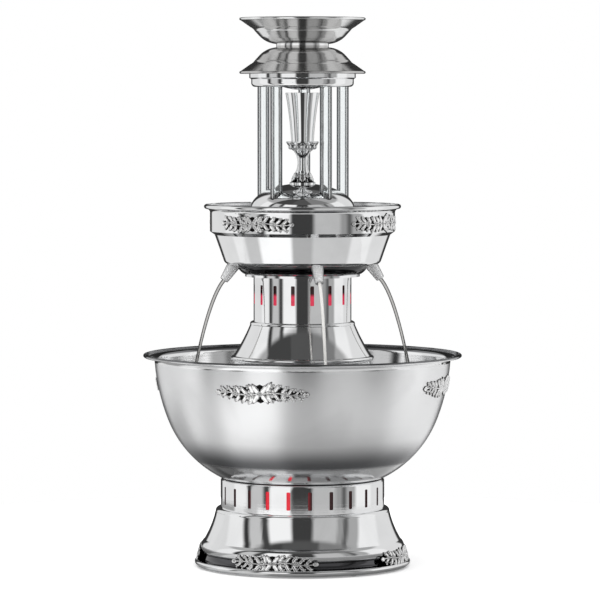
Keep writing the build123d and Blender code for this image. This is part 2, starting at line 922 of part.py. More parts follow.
# The mains inlet: a socket with three blades
with BuildPart() as power_inlet:
    with Locations((inlet_offset, panel_face - inlet_depth / 2, panel_middle)):
        Box(inlet_width, inlet_depth, inlet_height)
    with Locations((inlet_offset, panel_face + inlet_rim / 2, panel_middle)):
        Box(inlet_width + 2 * inlet_wall, inlet_rim, inlet_height + inlet_wall)
    fillet(power_inlet.edges().filter_by(Axis.Y).group_by(Axis.Y)[-1], radius=inlet_rim)
    socket_floor = panel_face + inlet_rim - inlet_socket_depth
    with Locations((inlet_offset, socket_floor, panel_middle)):
        Box(
            inlet_width - 2 * inlet_wall,
            inlet_socket_depth,
            inlet_height - 2 * inlet_wall,
            align=(Align.CENTER, Align.MIN, Align.CENTER),
            mode=Mode.SUBTRACT,
        )
    for step, lift in ((-1, -1), (0, 1), (1, -1)):
        blade = (
            inlet_offset + step * inlet_pin_spacing,
            socket_floor,
            panel_middle + lift * inlet_pin_width,
        )
        with Locations(blade):
            Box(
                inlet_pin_width,
                inlet_pin_reach,
                inlet_pin_height,
                align=(Align.CENTER, Align.MIN, Align.CENTER),
            )
keep(power_inlet.part, "power_inlet")

# Cast sprays on the base, from the rim's bead up over the bulge
base_wall_line = [
    (bead_line, bead_top - base_bead_radius / 2),
    (cove_line + bulge_rise / 2, bulge_top),
]
with BuildPart() as base_ornaments:
    add(
        sprays(
            base_wall_line,
            base_spray_length,
            base_spray_height,
            base_spray_turn,
            (bead_top + bulge_top) / 2,
        )
    )
    add(base_skirt.part, mode=Mode.SUBTRACT)
keep(base_ornaments.part, "base_ornaments")

# The spun bowl
with BuildPart() as main_bowl:
    with BuildSketch(Plane.XZ):
        with BuildLine():
            add(bowl_line.line)
            offset(amount=sheet, side=Side.LEFT)
        make_face()
    revolve(axis=Axis.Z)
keep(main_bowl.part, "main_bowl")

# Cast sprays on the bowl's wall
bowl_wall_line = [
    (belly_radius + weld_gap, belly_foot),
    (belly_middle[0] + weld_gap, belly_middle[1]),
    (bowl_radius + weld_gap, bowl_flare_foot),
]
with BuildPart() as bowl_ornaments:
    add(sprays(bowl_wall_line, bowl_spray_length, bowl_spray_height, bowl_spray_turn, bowl_spray_rise))
keep(bowl_ornaments.part, "bowl_ornaments")

# The pump on the bowl's floor: a plate with the axle, a cover with inlets and a spigot
impeller_foot = pump_foot + sheet
with BuildPart() as pump_base:
    add(ring(pump_radius, 0, bowl_inside, pump_foot))
    add(ring(impeller_hub_radius, 0, pump_foot, impeller_foot - run_gap))
    add(ring(axle_radius, 0, pump_foot, pump_shoulder))
keep(pump_base.part, "pump_base")

with BuildPart() as pump_cover:
    with BuildSketch(Plane.XZ):
        with BuildLine():
            Polyline(
                (pump_radius, pump_foot),
                (pump_radius, pump_shoulder),
                (spigot_radius, spigot_foot),
                (spigot_radius, spigot_foot + spigot_height),
            )
            offset(amount=pump_wall, side=Side.LEFT)
        make_face()
    revolve(axis=Axis.Z)
    pump_slot = slot_cutter(0, pump_radius, pump_slot_width, pump_slot_height, pump_foot + pump_wall)
    with PolarLocations(0, pump_slots):
        add(pump_slot, mode=Mode.SUBTRACT)
keep(pump_cover.part, "pump_cover")

# The impeller, with the follower magnet moulded into its disc
vane_foot = impeller_foot + impeller_disc
vane_reach = impeller_radius - impeller_hub_radius
with BuildPart() as impeller:
    add(ring(impeller_radius, 0, impeller_foot, vane_foot))
    with BuildSketch(Plane.XY.offset(vane_foot)):
        Circle(impeller_hub_radius)
        with PolarLocations(impeller_radius - vane_reach / 2, impeller_vanes):
            Rectangle(vane_reach - impeller_vane_wall, impeller_vane_wall)
        with PolarLocations(impeller_hub_radius, impeller_vanes):
            Circle(impeller_vane_wall)
    extrude(amount=impeller_vane_height)
    add(ring(axle_radius + run_gap, 0, impeller_foot, vane_foot + impeller_vane_height), mode=Mode.SUBTRACT)
keep(impeller.part, "impeller")

# The riser from the pump's spigot up through the platform
with BuildPart() as pump_riser:
    add(ring(riser_radius, spigot_radius + run_gap, spigot_foot, riser_top))
keep(pump_riser.part, "pump_riser")

# The pedestal round the pump: a tube with strainer holes and a platform with a turned edge
with BuildPart() as pedestal:
    add(ring(pedestal_radius, pedestal_radius - sheet, bowl_inside, platform_rise))
    add(ring(platform_radius, riser_radius + fit_gap, platform_rise - sheet, platform_rise))
    add(ring(platform_radius, platform_radius - sheet, platform_rise - platform_lip, platform_rise))
    with Locations((0, 0, bowl_inside + pedestal_hole_rise)):
        with PolarLocations(pedestal_radius, pedestal_holes):
            Cylinder(pedestal_hole_radius, cut_through, rotation=(0, 90, 0), mode=Mode.SUBTRACT)
keep(pedestal.part, "pedestal")

# The column's bell, from a beaded foot up to the drum
bell_bead_line = bell_radius - bell_bead_radius
bell_bead_top = platform_rise + 2 * bell_bead_radius
bell_neck = bell_top - bell_cap_height
with BuildPart() as column_bell:
    with BuildSketch(Plane.XZ):
        with BuildLine():
            Line((bell_bead_line - bell_flange, platform_rise), (bell_bead_line, platform_rise))
            ThreePointArc(
                (bell_bead_line, platform_rise),
                (bell_radius, platform_rise + bell_bead_radius),
                (bell_bead_line, bell_bead_top),
            )
            ThreePointArc(
                (bell_bead_line, bell_bead_top),
                ((bell_bead_line + bell_neck_radius) / 2 - bell_hollow, (bell_bead_top + bell_neck) / 2),
                (bell_neck_radius, bell_neck),
            )
            ThreePointArc(
                (bell_neck_radius, bell_neck),
                (bell_neck_radius - sheet / 4, bell_top - bell_cap_height * bell_cap_bow),
                (column_radius + sheet, bell_top),
            )
            Line((column_radius + sheet, bell_top), (column_radius - column_flange, bell_top))
            offset(amount=sheet, side=Side.LEFT)
        make_face()
    revolve(axis=Axis.Z)
keep(column_bell.part, "column_bell")

# The slotted column drum, closed at the top round the riser
with BuildPart() as column_drum:
    with BuildSketch(Plane.XZ):
        with BuildLine():
            Polyline(
                (column_radius - column_flange, bell_top),
                (column_radius, bell_top),
                (column_radius, column_top - column_corner),
            )
            ThreePointArc(
                (column_radius, column_top - column_corner),
                (column_radius - column_corner * arc_near, column_top - column_corner * arc_near),
                (column_radius - column_corner, column_top),
            )
            Line((column_radius - column_corner, column_top), (riser_radius + run_gap, column_top))
            offset(amount=sheet, side=Side.LEFT)
        make_face()
    revolve(axis=Axis.Z)
    column_slot = slot_cutter(
        column_slot_turn,
        column_radius,
        column_slot_width,
        column_slot_height,
        bell_top + column_slot_rise,
    )
    with PolarLocations(0, column_slots):
        add(column_slot, mode=Mode.SUBTRACT)
keep(column_drum.part, "column_drum")

column_liner_radius = column_radius - sheet - liner_gap
column_floor = bell_top + sheet
with BuildPart() as column_liner:
    add(
        ring(
            column_liner_radius,
            column_liner_radius - liner_wall,
            column_floor,
            bell_top + column_slot_rise + column_slot_height + liner_overlap,
        )
    )
keep(column_liner.part, "column_liner")

# A sealed lamp puck on the drum's flange, with a ring of small lamps
puck_top = column_floor + puck_height
with BuildPart() as lamp_ring:
    add(
        ring(
            column_liner_radius - liner_wall - fit_gap,
            riser_radius + puck_bore_gap,
            column_floor,
            puck_top,
        )
    )
    chamfer(lamp_ring.edges().group_by(Axis.Z)[-1], length=sheet)
keep(lamp_ring.part, "lamp_ring")

with BuildPart() as ring_lamps:
    with BuildSketch(Plane.XY.offset(puck_top)):
        with PolarLocations(puck_lamp_circle_radius, puck_lamps):
            Circle(puck_lamp_radius)
    extrude(amount=puck_lamp_height)
    fillet(ring_lamps.edges().group_by(Axis.Z)[-1], radius=puck_lamp_round)
keep(ring_lamps.part, "ring_lamps")

# The column's own riser: a socket over the pump's riser, a collar under the puck and a long pipe
socket_radius = riser_radius + fit_gap
socket_top = riser_top + fit_gap
riser_collar_radius = socket_radius + 2 * riser_wall
with BuildPart() as column_riser:
    add(ring(socket_radius + riser_wall, socket_radius, platform_rise, socket_top))
    add(ring(socket_radius + riser_wall, riser_radius - riser_wall, socket_top, socket_top + riser_wall))
    add(ring(riser_radius, riser_radius - riser_wall, socket_top, column_top + hub_engage))
    add(ring(riser_collar_radius, riser_radius - riser_wall, column_floor - riser_wall, column_floor))
keep(column_riser.part, "column_riser")

# The tier's pan: floor, rounded corner, taper, step, upright band and a beaded rim
tier_bead_line = tier_rim_radius - tier_bead_radius
tier_flare_top = tier_band_top + tier_flare
with BuildLine() as tier_line:
    Line((hub_radius + run_gap, tier_under), (tier_floor_radius, tier_under))
    ThreePointArc(
        (tier_floor_radius, tier_under),
        (
            tier_floor_radius + (tier_corner_radius - tier_floor_radius) * tier_corner_out,
            tier_under + tier_corner_height * tier_corner_up,
        ),
        (tier_corner_radius, tier_taper_foot),
    )
    Polyline(
        (tier_corner_radius, tier_taper_foot),
        (tier_taper_radius, tier_taper_top),
        (tier_band_radius, tier_band_foot),
        (tier_band_radius, tier_band_top),
    )
    ThreePointArc(
        (tier_band_radius, tier_band_top),
        (
            tier_band_radius + (tier_bead_line - tier_band_radius) * arc_near,
            tier_band_top + tier_flare * arc_far,
        ),
        (tier_bead_line, tier_flare_top),
    )
    ThreePointArc(
        (tier_bead_line, tier_flare_top),
        (tier_rim_radius, tier_flare_top + tier_bead_radius),
        (tier_bead_line, tier_flare_top + 2 * tier_bead_radius),
    )


def spout_plane(back):
    """The plane square to the front spout at a distance back from its root, facing down and out."""
    front = facing(spout_turn, 0)
    along = front.z_dir * sin(radians(spout_tilt)) - Vector(0, 0, cos(radians(spout_tilt)))
    root = front.z_dir * spout_circle_radius + Vector(0, 0, tier_floor)
    return Plane(origin=root - along * back, x_dir=front.x_dir, z_dir=along)


def spout_cutter(radius):
    """A round cutter along the front spout, from above the pan's floor down past the tip."""
    with BuildPart() as cutter:
        with Locations(spout_plane(spout_shank_length)):
            Cylinder(radius, spout_shank_length + spout_length, align=from_plane)
    return cutter.part


with BuildPart() as tier_pan:
    with BuildSketch(Plane.XZ):
        with BuildLine():
            add(tier_line.line)
            offset(amount=sheet, side=Side.LEFT)
        make_face()
    revolve(axis=Axis.Z)
    with PolarLocations(0, spout_count):
        add(spout_cutter(spout_shank_radius + run_gap), mode=Mode.SUBTRACT)
keep(tier_pan.part, "tier_pan")

# The collar under the pan: a plate on the column's top, a hanging lip and a rounded wall up to the pan
collar_foot_radius = collar_lip_radius + collar_bead / 2
with BuildPart() as tier_collar:
    with BuildSketch(Plane.XZ):
        with BuildLine():
            Line((hub_nut_radius + collar_bead, column_top), (collar_foot_radius, column_top))
            ThreePointArc(
                (collar_foot_radius, column_top),
                (
                    (collar_foot_radius + collar_top_radius + collar_bow) / 2,
                    (column_top + tier_under - collar_bow) / 2,
                ),
                (collar_top_radius, tier_under),
            )
            offset(amount=sheet, side=Side.LEFT)
        make_face()
    revolve(axis=Axis.Z)
    add(ring(collar_lip_radius, collar_lip_radius - sheet, column_top - collar_lip_drop, column_top))
    add(
        ring(collar_top_radius, 0, tier_under, tier_under + 2 * sheet),
        mode=Mode.SUBTRACT,
    )
    with PolarLocations(0, spout_count):
        add(spout_cutter(spout_root_radius + fit_gap), mode=Mode.SUBTRACT)
keep(tier_collar.part, "tier_collar")

# The pan filled in, to shape the roots of the spouts to its corner
with BuildPart() as tier_filled:
    with BuildSketch(Plane.XZ):
        with BuildLine():
            add(tier_line.line)
            Polyline(
                (tier_bead_line, tier_flare_top + 2 * tier_bead_radius),
                (0, tier_flare_top + 2 * tier_bead_radius),
                (0, tier_under),
                (hub_radius + run_gap, tier_under),
            )
        make_face()
    revolve(axis=Axis.Z)

with BuildPart() as spout:
    with Locations(spout_plane(0)):
        Cone(spout_root_radius, spout_tip_radius, spout_length, align=from_plane)
    fillet(spout.edges().sort_by(Axis.Z)[0], radius=sheet)
    add(tier_filled.part, mode=Mode.SUBTRACT)
    with Locations(spout_plane(spout_shank_length)):
        Cylinder(spout_shank_radius, spout_shank_length + spout_root_radius, align=from_plane)
    add(spout_cutter(spout_bore_radius), mode=Mode.SUBTRACT)

spout_names = ("spout_front", "spout_right", "spout_back", "spout_left")
for step, name in enumerate(spout_names):
    with BuildPart() as placed_spout:
        with PolarLocations(0, 1, start_angle=step * 360 / spout_count):
            add(spout.part)
    keep(placed_spout.part, name)

with BuildPart() as spout_nut:
    with BuildSketch(spout_plane(spout_nut_lift)):
        RegularPolygon(spout_nut_radius, 6)
        Circle(spout_shank_radius + run_gap, mode=Mode.SUBTRACT)
    extrude(amount=-spout_nut_height)

with BuildPart() as spout_nuts:
    with PolarLocations(0, spout_count):
        add(spout_nut.part)
keep(spout_nuts.part, "spout_nuts")

# Cast sprays on the tier's band
tier_wall_line = [
    (tier_band_radius + weld_gap, tier_band_foot),
    (tier_band_radius + weld_gap, tier_band_top),
]
with BuildPart() as tier_ornaments:
    add(
        sprays(
            tier_wall_line,
            tier_spray_length,
            tier_spray_height,
            tier_spray_turn,
            (tier_band_foot + tier_band_top) / 2,
        )
    )
keep(tier_ornaments.part, "tier_ornaments")

# The hub through the pan's floor: socket for the riser, flange, pipe up to the manifold, and nut
hub_flange_top = tier_floor + hub_flange_height
hub_pipe_top = hub_flange_top + hub_pipe_height
hub_socket_top = column_top + hub_engage + fit_gap
with BuildPart() as hub_fitting:
    add(ring(hub_radius, 0, tier_under - hub_drop, tier_floor))
    add(ring(hub_flange_radius, 0, tier_floor, hub_flange_top))
    add(ring(hub_pipe_radius, 0, hub_flange_top, hub_pipe_top))
    add(ring(riser_radius + fit_gap, 0, tier_under - hub_drop, hub_socket_top), mode=Mode.SUBTRACT)
    add(ring(hub_pipe_bore, 0, hub_socket_top, hub_pipe_top), mode=Mode.SUBTRACT)
keep(hub_fitting.part, "hub_fitting")

with BuildPart() as hub_nut:
    with BuildSketch(Plane.XY.offset(tier_under - hub_nut_height)):
        RegularPolygon(hub_nut_radius, 6)
        Circle(hub_radius + run_gap, mode=Mode.SUBTRACT)
    extrude(amount=hub_nut_height)
keep(hub_nut.part, "hub_nut")

# The manifold that feeds the clear tubes, a hollow disc with a sleeve and a socket for each
tube_bore = tube_radius - tube_wall
with BuildPart() as manifold:
    add(ring(manifold_radius, 0, manifold_foot, manifold_top))
    sleeve_radius = hub_pipe_radius + manifold_sleeve_wall
    add(ring(sleeve_radius, 0, manifold_foot - manifold_sleeve, manifold_foot))
    with BuildSketch(Plane.XY.offset(manifold_top)):
        with PolarLocations(tube_circle_radius, tube_count, start_angle=tube_turn - 90):
            Circle(manifold_boss_radius)
    extrude(amount=manifold_boss_height)
    add(
        ring(
            manifold_radius - manifold_wall,
            0,
            manifold_foot + manifold_wall,
            manifold_top - manifold_wall,
        ),
        mode=Mode.SUBTRACT,
    )
    add(
        ring(
            hub_pipe_radius + run_gap,
            0,
            manifold_foot - manifold_sleeve,
            manifold_foot + manifold_wall,
        ),
        mode=Mode.SUBTRACT,
    )
    with Locations((0, 0, tube_foot)):
        with PolarLocations(tube_circle_radius, tube_count, start_angle=tube_turn - 90):
            Cylinder(
                tube_radius + tube_gap,
                manifold_socket,
                align=from_plane,
                mode=Mode.SUBTRACT,
            )
            Cylinder(tube_bore, 2 * (tube_foot - manifold_top + manifold_wall), mode=Mode.SUBTRACT)
keep(manifold.part, "manifold")

# The dome over the manifold, standing on the pan's floor
with BuildPart() as dome_filled:
    with BuildSketch(Plane.XZ):
        with BuildLine():
            EllipticalCenterArc((0, dome_shoulder), dome_radius, dome_rise, 0, arc_size=90)
            Polyline(
                (0, dome_top),
                (0, tier_floor),
                (dome_radius, tier_floor),
                (dome_radius, dome_shoulder),
            )
        make_face()
    revolve(axis=Axis.Z)

with BuildPart() as dome:
    add(dome_filled.part)
    with BuildSketch(Plane.XZ):
        with BuildLine():
            EllipticalCenterArc((0, dome_shoulder), dome_radius - sheet, dome_rise - sheet, 0, arc_size=90)
            Polyline(
                (0, dome_top - sheet),
                (0, tier_floor),
                (dome_radius - sheet, tier_floor),
                (dome_radius - sheet, dome_shoulder),
            )
        make_face()
    revolve(axis=Axis.Z, mode=Mode.SUBTRACT)
    with Locations((0, 0, dome_shoulder)):
        Cylinder(vase_peg_radius, dome_rise + sheet, align=from_plane, mode=Mode.SUBTRACT)
        with PolarLocations(tube_circle_radius, tube_count, start_angle=tube_turn - 90):
            Cylinder(tube_radius + tube_gap, dome_rise, align=from_plane, mode=Mode.SUBTRACT)
keep(dome.part, "dome")

# The vase on the dome: a turned foot with stem and leafy calyx, and a hollow trumpet
with BuildPart() as vase_foot:
    with BuildSketch(Plane.XZ):
        with BuildLine():
            Polyline(
                (0, vase_calyx_top),
                (0, dome_top - vase_foot_sink),
                (vase_foot_radius, dome_top - vase_foot_sink),
                (vase_foot_radius, dome_top + sheet),
            )
            ThreePointArc(
                (vase_foot_radius, dome_top + sheet),
                (vase_waist_radius + sheet, dome_top + vase_foot_height / 2),
                (vase_waist_radius, vase_foot_top),
            )
            ThreePointArc(
                (vase_waist_radius, vase_foot_top),
                (vase_stem_radius, (vase_foot_top + vase_stem_top) / 2),
                (vase_waist_radius, vase_stem_top),
            )
            ThreePointArc(
                (vase_waist_radius, vase_stem_top),
                (
                    vase_calyx_radius * vase_calyx_belly,
                    vase_stem_top + vase_calyx_height * vase_calyx_belly_rise,
                ),
                (vase_calyx_radius, vase_calyx_top - sheet),
            )
            Polyline(
                (vase_calyx_radius, vase_calyx_top - sheet),
                (vase_calyx_radius, vase_calyx_top),
                (0, vase_calyx_top),
            )
        make_face()
    revolve(axis=Axis.Z)
    with Locations((0, 0, vase_stem_top + vase_leaf_rise)):
        with PolarLocations(vase_leaf_circle_radius, vase_calyx_leaves):
            Sphere(vase_leaf_radius)
    add(dome_filled.part, mode=Mode.SUBTRACT)
    add(ring(vase_peg_radius, 0, dome_top - vase_peg_height, dome_top + sheet))
keep(vase_foot.part, "vase_foot")

with BuildPart() as vase_trumpet:
    with BuildSketch(Plane.XZ):
        with BuildLine():
            Line((0, vase_calyx_top), (vase_trumpet_foot, vase_calyx_top))
            ThreePointArc(
                (vase_trumpet_foot, vase_calyx_top),
                (
                    (vase_trumpet_foot + vase_mouth_radius) / 2 - vase_wall,
                    vase_calyx_top + vase_trumpet_height / 2,
                ),
                (vase_mouth_radius, vase_calyx_top + vase_trumpet_height),
            )
            offset(amount=vase_wall, side=Side.LEFT)
        make_face()
    revolve(axis=Axis.Z)
keep(vase_trumpet.part, "vase_trumpet")

# The clear tubes from the manifold up into the crown's ring
for step in range(tube_count):
    place = facing(tube_turn + step * 360 / tube_count, tube_foot, tube_circle_radius).origin
    with BuildPart() as tube:
        with BuildSketch(Plane(origin=place)):
            Circle(tube_radius)
            Circle(tube_bore, mode=Mode.SUBTRACT)
        extrude(amount=tube_length)
    keep(tube.part, f"clear_tube_{step + 1}")

# The top dish, a spun pan; the crown's cap is the same stamping turned over under it
pan_bead_line = pan_rim_radius - pan_bead_radius
pan_flare_top = pan_crease_height + pan_flare_height
with BuildPart() as top_dish:
    with BuildSketch(Plane(origin=(0, 0, neck), x_dir=(1, 0, 0), z_dir=(0, -1, 0))):
        with BuildLine():
            Polyline((peg_radius, 0), (pan_neck_radius, 0), (pan_neck_radius, pan_foot_height))
            ThreePointArc(
                (pan_neck_radius, pan_foot_height),
                (
                    pan_neck_radius + (pan_bowl_radius - pan_neck_radius) * pan_bowl_out,
                    pan_foot_height + (pan_bowl_height - pan_foot_height) * pan_bowl_up,
                ),
                (pan_bowl_radius, pan_bowl_height),
            )
            Line((pan_bowl_radius, pan_bowl_height), (pan_waist_radius, pan_waist_height))
            ThreePointArc(
                (pan_waist_radius, pan_waist_height),
                (
                    pan_waist_radius + (pan_crease_radius - pan_waist_radius) * pan_crease_out,
                    pan_waist_height + (pan_crease_height - pan_waist_height) * pan_crease_up,
                ),
                (pan_crease_radius, pan_crease_height),
            )
            Line((pan_crease_radius, pan_crease_height), (pan_bead_line, pan_flare_top))
            ThreePointArc(
                (pan_bead_line, pan_flare_top),
                (pan_rim_radius, pan_flare_top + pan_bead_radius),
                (pan_bead_line, pan_flare_top + 2 * pan_bead_radius),
            )
            offset(amount=sheet, side=Side.LEFT)
        make_face()
    revolve(axis=Axis.Z)
keep(top_dish.part, "top_dish")

with BuildPart() as crown_cap:
    add(top_dish.part)
    mirror(about=Plane.XY.offset(neck), mode=Mode.REPLACE)
    add(ring(peg_radius + fit_gap, 0, neck - sheet, neck), mode=Mode.SUBTRACT)
keep(crown_cap.part, "crown_cap")

# The ring under the cap: floor with ports, an upright band, a step, and a wider band up to the flare
flare_slope = pan_flare_height / (pan_bead_line - pan_crease_radius)
flare_drop = pan_crease_inset * flare_slope + sheet * sqrt(1 + flare_slope**2) + weld_gap
ring_wall_top = neck - pan_crease_height - flare_drop
with BuildPart() as crown_ring:
    with BuildSketch(Plane.XZ):
        with BuildLine():
            TangentArc((0, ring_under - ring_hub_drop), (ring_hub_radius, ring_under), tangent=(1, 0))
            Line((ring_hub_radius, ring_under), (ring_floor_radius, ring_under))
            ThreePointArc(
                (ring_floor_radius, ring_under),
                (
                    ring_floor_radius + (ring_radius - ring_floor_radius) * arc_far,
                    ring_under + ring_corner * arc_near,
                ),
                (ring_radius, ring_under + ring_corner),
            )
            Polyline(
                (ring_radius, ring_under + ring_corner),
                (ring_radius, ring_band_top),
                (ring_rim_radius, ring_step_top),
                (ring_rim_radius, ring_wall_top),
            )
            offset(amount=sheet, side=Side.LEFT)
        make_face()
    revolve(axis=Axis.Z)
    with Locations((0, 0, ring_under)):
        with PolarLocations(tube_circle_radius, tube_count, start_angle=tube_turn - 90):
            Cylinder(tube_radius + weld_gap, cut_through, mode=Mode.SUBTRACT)
        with PolarLocations(ring_port_circle_radius, ring_ports):
            Cylinder(ring_port_radius, cut_through, mode=Mode.SUBTRACT)
keep(crown_ring.part, "crown_ring")

# The peg that holds the dish in the cap's neck
with BuildPart() as dish_peg:
    add(ring(peg_radius, 0, neck - peg_height, neck + sheet))
    add(ring(peg_head_radius, 0, neck + sheet, neck + sheet + peg_head_height))
    fillet(dish_peg.edges().group_by(Axis.Z)[-1], radius=sheet)
keep(dish_peg.part, "dish_peg")
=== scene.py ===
# %% [markdown]
# # Dressing a champagne fountain
# The fountain is a stack of spun steel: a lit base, a wide satin bowl, a lit column, a tier with four
# spouts, and a crown on clear tubes. The solids come ready-made from the CAD frame, in metres and in
# place. This script adds what a drawing lacks: a studio for the polish to mirror, finishes with real
# wear, the cast floral sprays, the leafy vase foot and the drink that runs from the spouts.

import json
import math
import random

import bmesh
import bpy
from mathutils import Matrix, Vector


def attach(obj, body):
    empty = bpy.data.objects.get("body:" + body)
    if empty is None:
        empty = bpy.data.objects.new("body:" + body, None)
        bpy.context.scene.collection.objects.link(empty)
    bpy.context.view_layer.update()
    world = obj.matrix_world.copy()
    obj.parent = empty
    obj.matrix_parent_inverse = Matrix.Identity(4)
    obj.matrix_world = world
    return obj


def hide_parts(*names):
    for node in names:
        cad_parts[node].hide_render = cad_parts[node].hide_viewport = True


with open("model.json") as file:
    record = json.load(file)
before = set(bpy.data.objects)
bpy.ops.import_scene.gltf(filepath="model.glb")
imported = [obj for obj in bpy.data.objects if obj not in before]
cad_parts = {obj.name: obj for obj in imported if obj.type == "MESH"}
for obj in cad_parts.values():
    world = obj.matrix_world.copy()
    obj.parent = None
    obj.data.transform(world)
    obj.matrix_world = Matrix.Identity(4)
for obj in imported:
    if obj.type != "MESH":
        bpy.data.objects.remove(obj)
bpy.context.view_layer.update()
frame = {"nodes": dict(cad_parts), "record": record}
cad = frame["nodes"]
scene = bpy.context.scene
scene.view_settings.view_transform = "Standard"

# %% [markdown]
# ## Camera
# The picture was taken from far away with a long lens: the rims look almost flat, and the eye is a
# little below the crown. A camera nearly five metres off, tipped down by three degrees, gives the same
# flat ellipses. No shift is needed, because the aim point sets the framing.

# %% Camera
eye = Vector((-0.0033, -4.87, 0.619))
aim = Vector((-0.0033, 0.0, 0.3515))
camera_data = bpy.data.cameras.new("camera")
camera_data.sensor_width = 36.0
camera_data.lens = 222.0
camera = bpy.data.objects.new("camera", camera_data)
camera.location = eye
camera.rotation_mode = "QUATERNION"
camera.rotation_quaternion = (aim - eye).to_track_quat("-Z", "Y")
scene.collection.objects.link(camera)
scene.camera = camera
print("camera:", round((aim - eye).length, 2), "m away")

# %% [markdown]
# ## Small helpers for node trees
# Every finish below is a tree of shader nodes. A few helpers keep the code short. One puts a node in a
# tree and one joins an output to an input. Two pass a number through a maths node or a smooth step, and
# one mixes two colours. Another reads the height above the table, and the last makes a node group
# with named sockets.

# %% Node helpers
def put(tree, kind, at, **settings):
    """Put a node in a tree at a place, with its settings."""
    node = tree.nodes.new(kind)
    node.location = at
    for key, value in settings.items():
        setattr(node, key, value)
    return node


def join(tree, source, out_socket, target, in_socket):
    """Link one node's output to another node's input."""
    tree.links.new(source.outputs[out_socket], target.inputs[in_socket])


def sums(tree, operation, at, first, second=None):
    """A maths node fed by sockets or numbers; returns its output socket."""
    node = put(tree, "ShaderNodeMath", at, operation=operation)
    for index, given in enumerate((first, second)):
        if given is None:
            continue
        if isinstance(given, (int, float)):
            node.inputs[index].default_value = given
        else:
            tree.links.new(given, node.inputs[index])
    return node.outputs[0]


def span(tree, at, value, low, high, to_low=0.0, to_high=1.0):
    """A smooth step of a value from one range to another; returns its output socket."""
    node = put(tree, "ShaderNodeMapRange", at, interpolation_type="SMOOTHSTEP")
    tree.links.new(value, node.inputs["Value"])
    node.inputs["From Min"].default_value = low
    node.inputs["From Max"].default_value = high
    node.inputs["To Min"].default_value = to_low
    node.inputs["To Max"].default_value = to_high
    return node.outputs["Result"]


def colour_mix(tree, at, factor):
    """A mix of two colours, A and B, by a socket; returns its node."""
    node = put(tree, "ShaderNodeMix", at, data_type="RGBA")
    tree.links.new(factor, node.inputs["Factor"])
    return node


def surface_height(tree, at):
    """The height above the table over a surface; returns its output socket."""
    place = put(tree, "ShaderNodeTexCoord", at)
    axes = put(tree, "ShaderNodeSeparateXYZ", (at[0] + 200, at[1]))
    join(tree, place, "Object", axes, "Vector")
    return axes.outputs["Z"]


def new_group(name, inputs, outputs):
    """A shader node group with named sockets, and its two end nodes."""
    group = bpy.data.node_groups.new(name, "ShaderNodeTree")
    for label, kind, value in inputs:
        made = group.interface.new_socket(name=label, in_out="INPUT", socket_type=kind)
        made.default_value = value
    for label, kind in outputs:
        group.interface.new_socket(name=label, in_out="OUTPUT", socket_type=kind)
    start = put(group, "NodeGroupInput", (-900, 0))
    end = put(group, "NodeGroupOutput", (700, 0))
    return group, start, end


NUMBER = "NodeSocketFloat"
COLOUR = "NodeSocketColor"
print("helpers ready")

# %% [markdown]
# ## The studio that the polish mirrors
# Polished steel has no look of its own: it shows the room. In a product picture that room is white
# with tall dark and grey panels between the soft lights, a dark gap in front where the camera stands,
# and dark cloths far behind that draw a line round each shape. The panels are painted on the world by
# direction, so they turn with no object and stay put in every view. Plain rays that reach the eye see
# white, and so do the rays through clear plastic and the light on matt surfaces.

# %% Studio panels
# Each panel: the angle off the front in degrees where it begins, to the right positive, and its level
wall_panels = [
    (-180, 0.04), (-155, 0.80), (-112, 0.95), (-85, 0.04), (-76, 0.60), (-57, 0.06), (-47, 1.0),
    (-15, 0.05), (14, 0.55), (48, 0.34), (57, 0.12), (64, 0.42), (80, 0.95), (112, 0.80), (155, 0.04),
]
ceiling_panels = [
    (-180, 0.12), (-128, 0.42), (-84, 0.06), (-30, 0.09), (24, 0.22), (78, 0.42), (128, 0.12),
]
near_table_panels = [
    (-180, 0.06), (-120, 0.15), (-85, 0.40), (-66, 0.70), (-20, 0.34), (10, 0.30), (80, 0.45),
    (150, 0.10),
]
far_table_panels = [
    (-180, 0.12), (-150, 0.30), (-105, 0.70), (-85, 0.50), (-62, 0.90), (-15, 0.38), (14, 0.52),
    (70, 0.72), (150, 0.15),
]
# The soft edge between two panels in degrees, and half of it as a share of the full turn
panel_edge = 5.0
half_edge = panel_edge / 2 / 360

studio, studio_in, studio_out = new_group(
    "studio_panels",
    [("Direction", "NodeSocketVector", (0, 0, 0))],
    [("Walls", COLOUR), ("Ceiling", COLOUR), ("Near table", COLOUR), ("Far table", COLOUR)],
)
parts = put(studio, "ShaderNodeSeparateXYZ", (-720, 0))
join(studio, studio_in, "Direction", parts, "Vector")
forward = sums(studio, "MULTIPLY", (-540, -160), parts.outputs["Y"], -1.0)
turn = sums(studio, "ARCTAN2", (-360, 0), parts.outputs["X"], forward)
turn = sums(studio, "ADD", (0, 0), sums(studio, "DIVIDE", (-180, 0), turn, 2 * math.pi), 0.5)


def grey(level):
    """A grey of one level."""
    return (level, level, level, 1)


def panels(levels, at, socket):
    """A colour ramp round the room, each panel with a soft edge."""
    ramp = put(studio, "ShaderNodeValToRGB", at)
    studio.links.new(turn, ramp.inputs["Fac"])
    first, last = ramp.color_ramp.elements
    first.color = grey(levels[0][1])
    last.color = grey(levels[-1][1])
    for (angle, level), (_, before) in zip(levels[1:], levels[:-1]):
        middle = (angle + 180) / 360
        ramp.color_ramp.elements.new(middle - half_edge).color = grey(before)
        ramp.color_ramp.elements.new(middle + half_edge).color = grey(level)
    join(studio, ramp, "Color", studio_out, socket)


panels(wall_panels, (300, 400), "Walls")
panels(ceiling_panels, (300, 150), "Ceiling")
panels(near_table_panels, (300, -100), "Near table")
panels(far_table_panels, (300, -350), "Far table")
print("studio:", len(wall_panels), "wall panels,", len(ceiling_panels), "ceiling panels")

# %% World
ceiling_start = 0.64
ceiling_full = 0.72


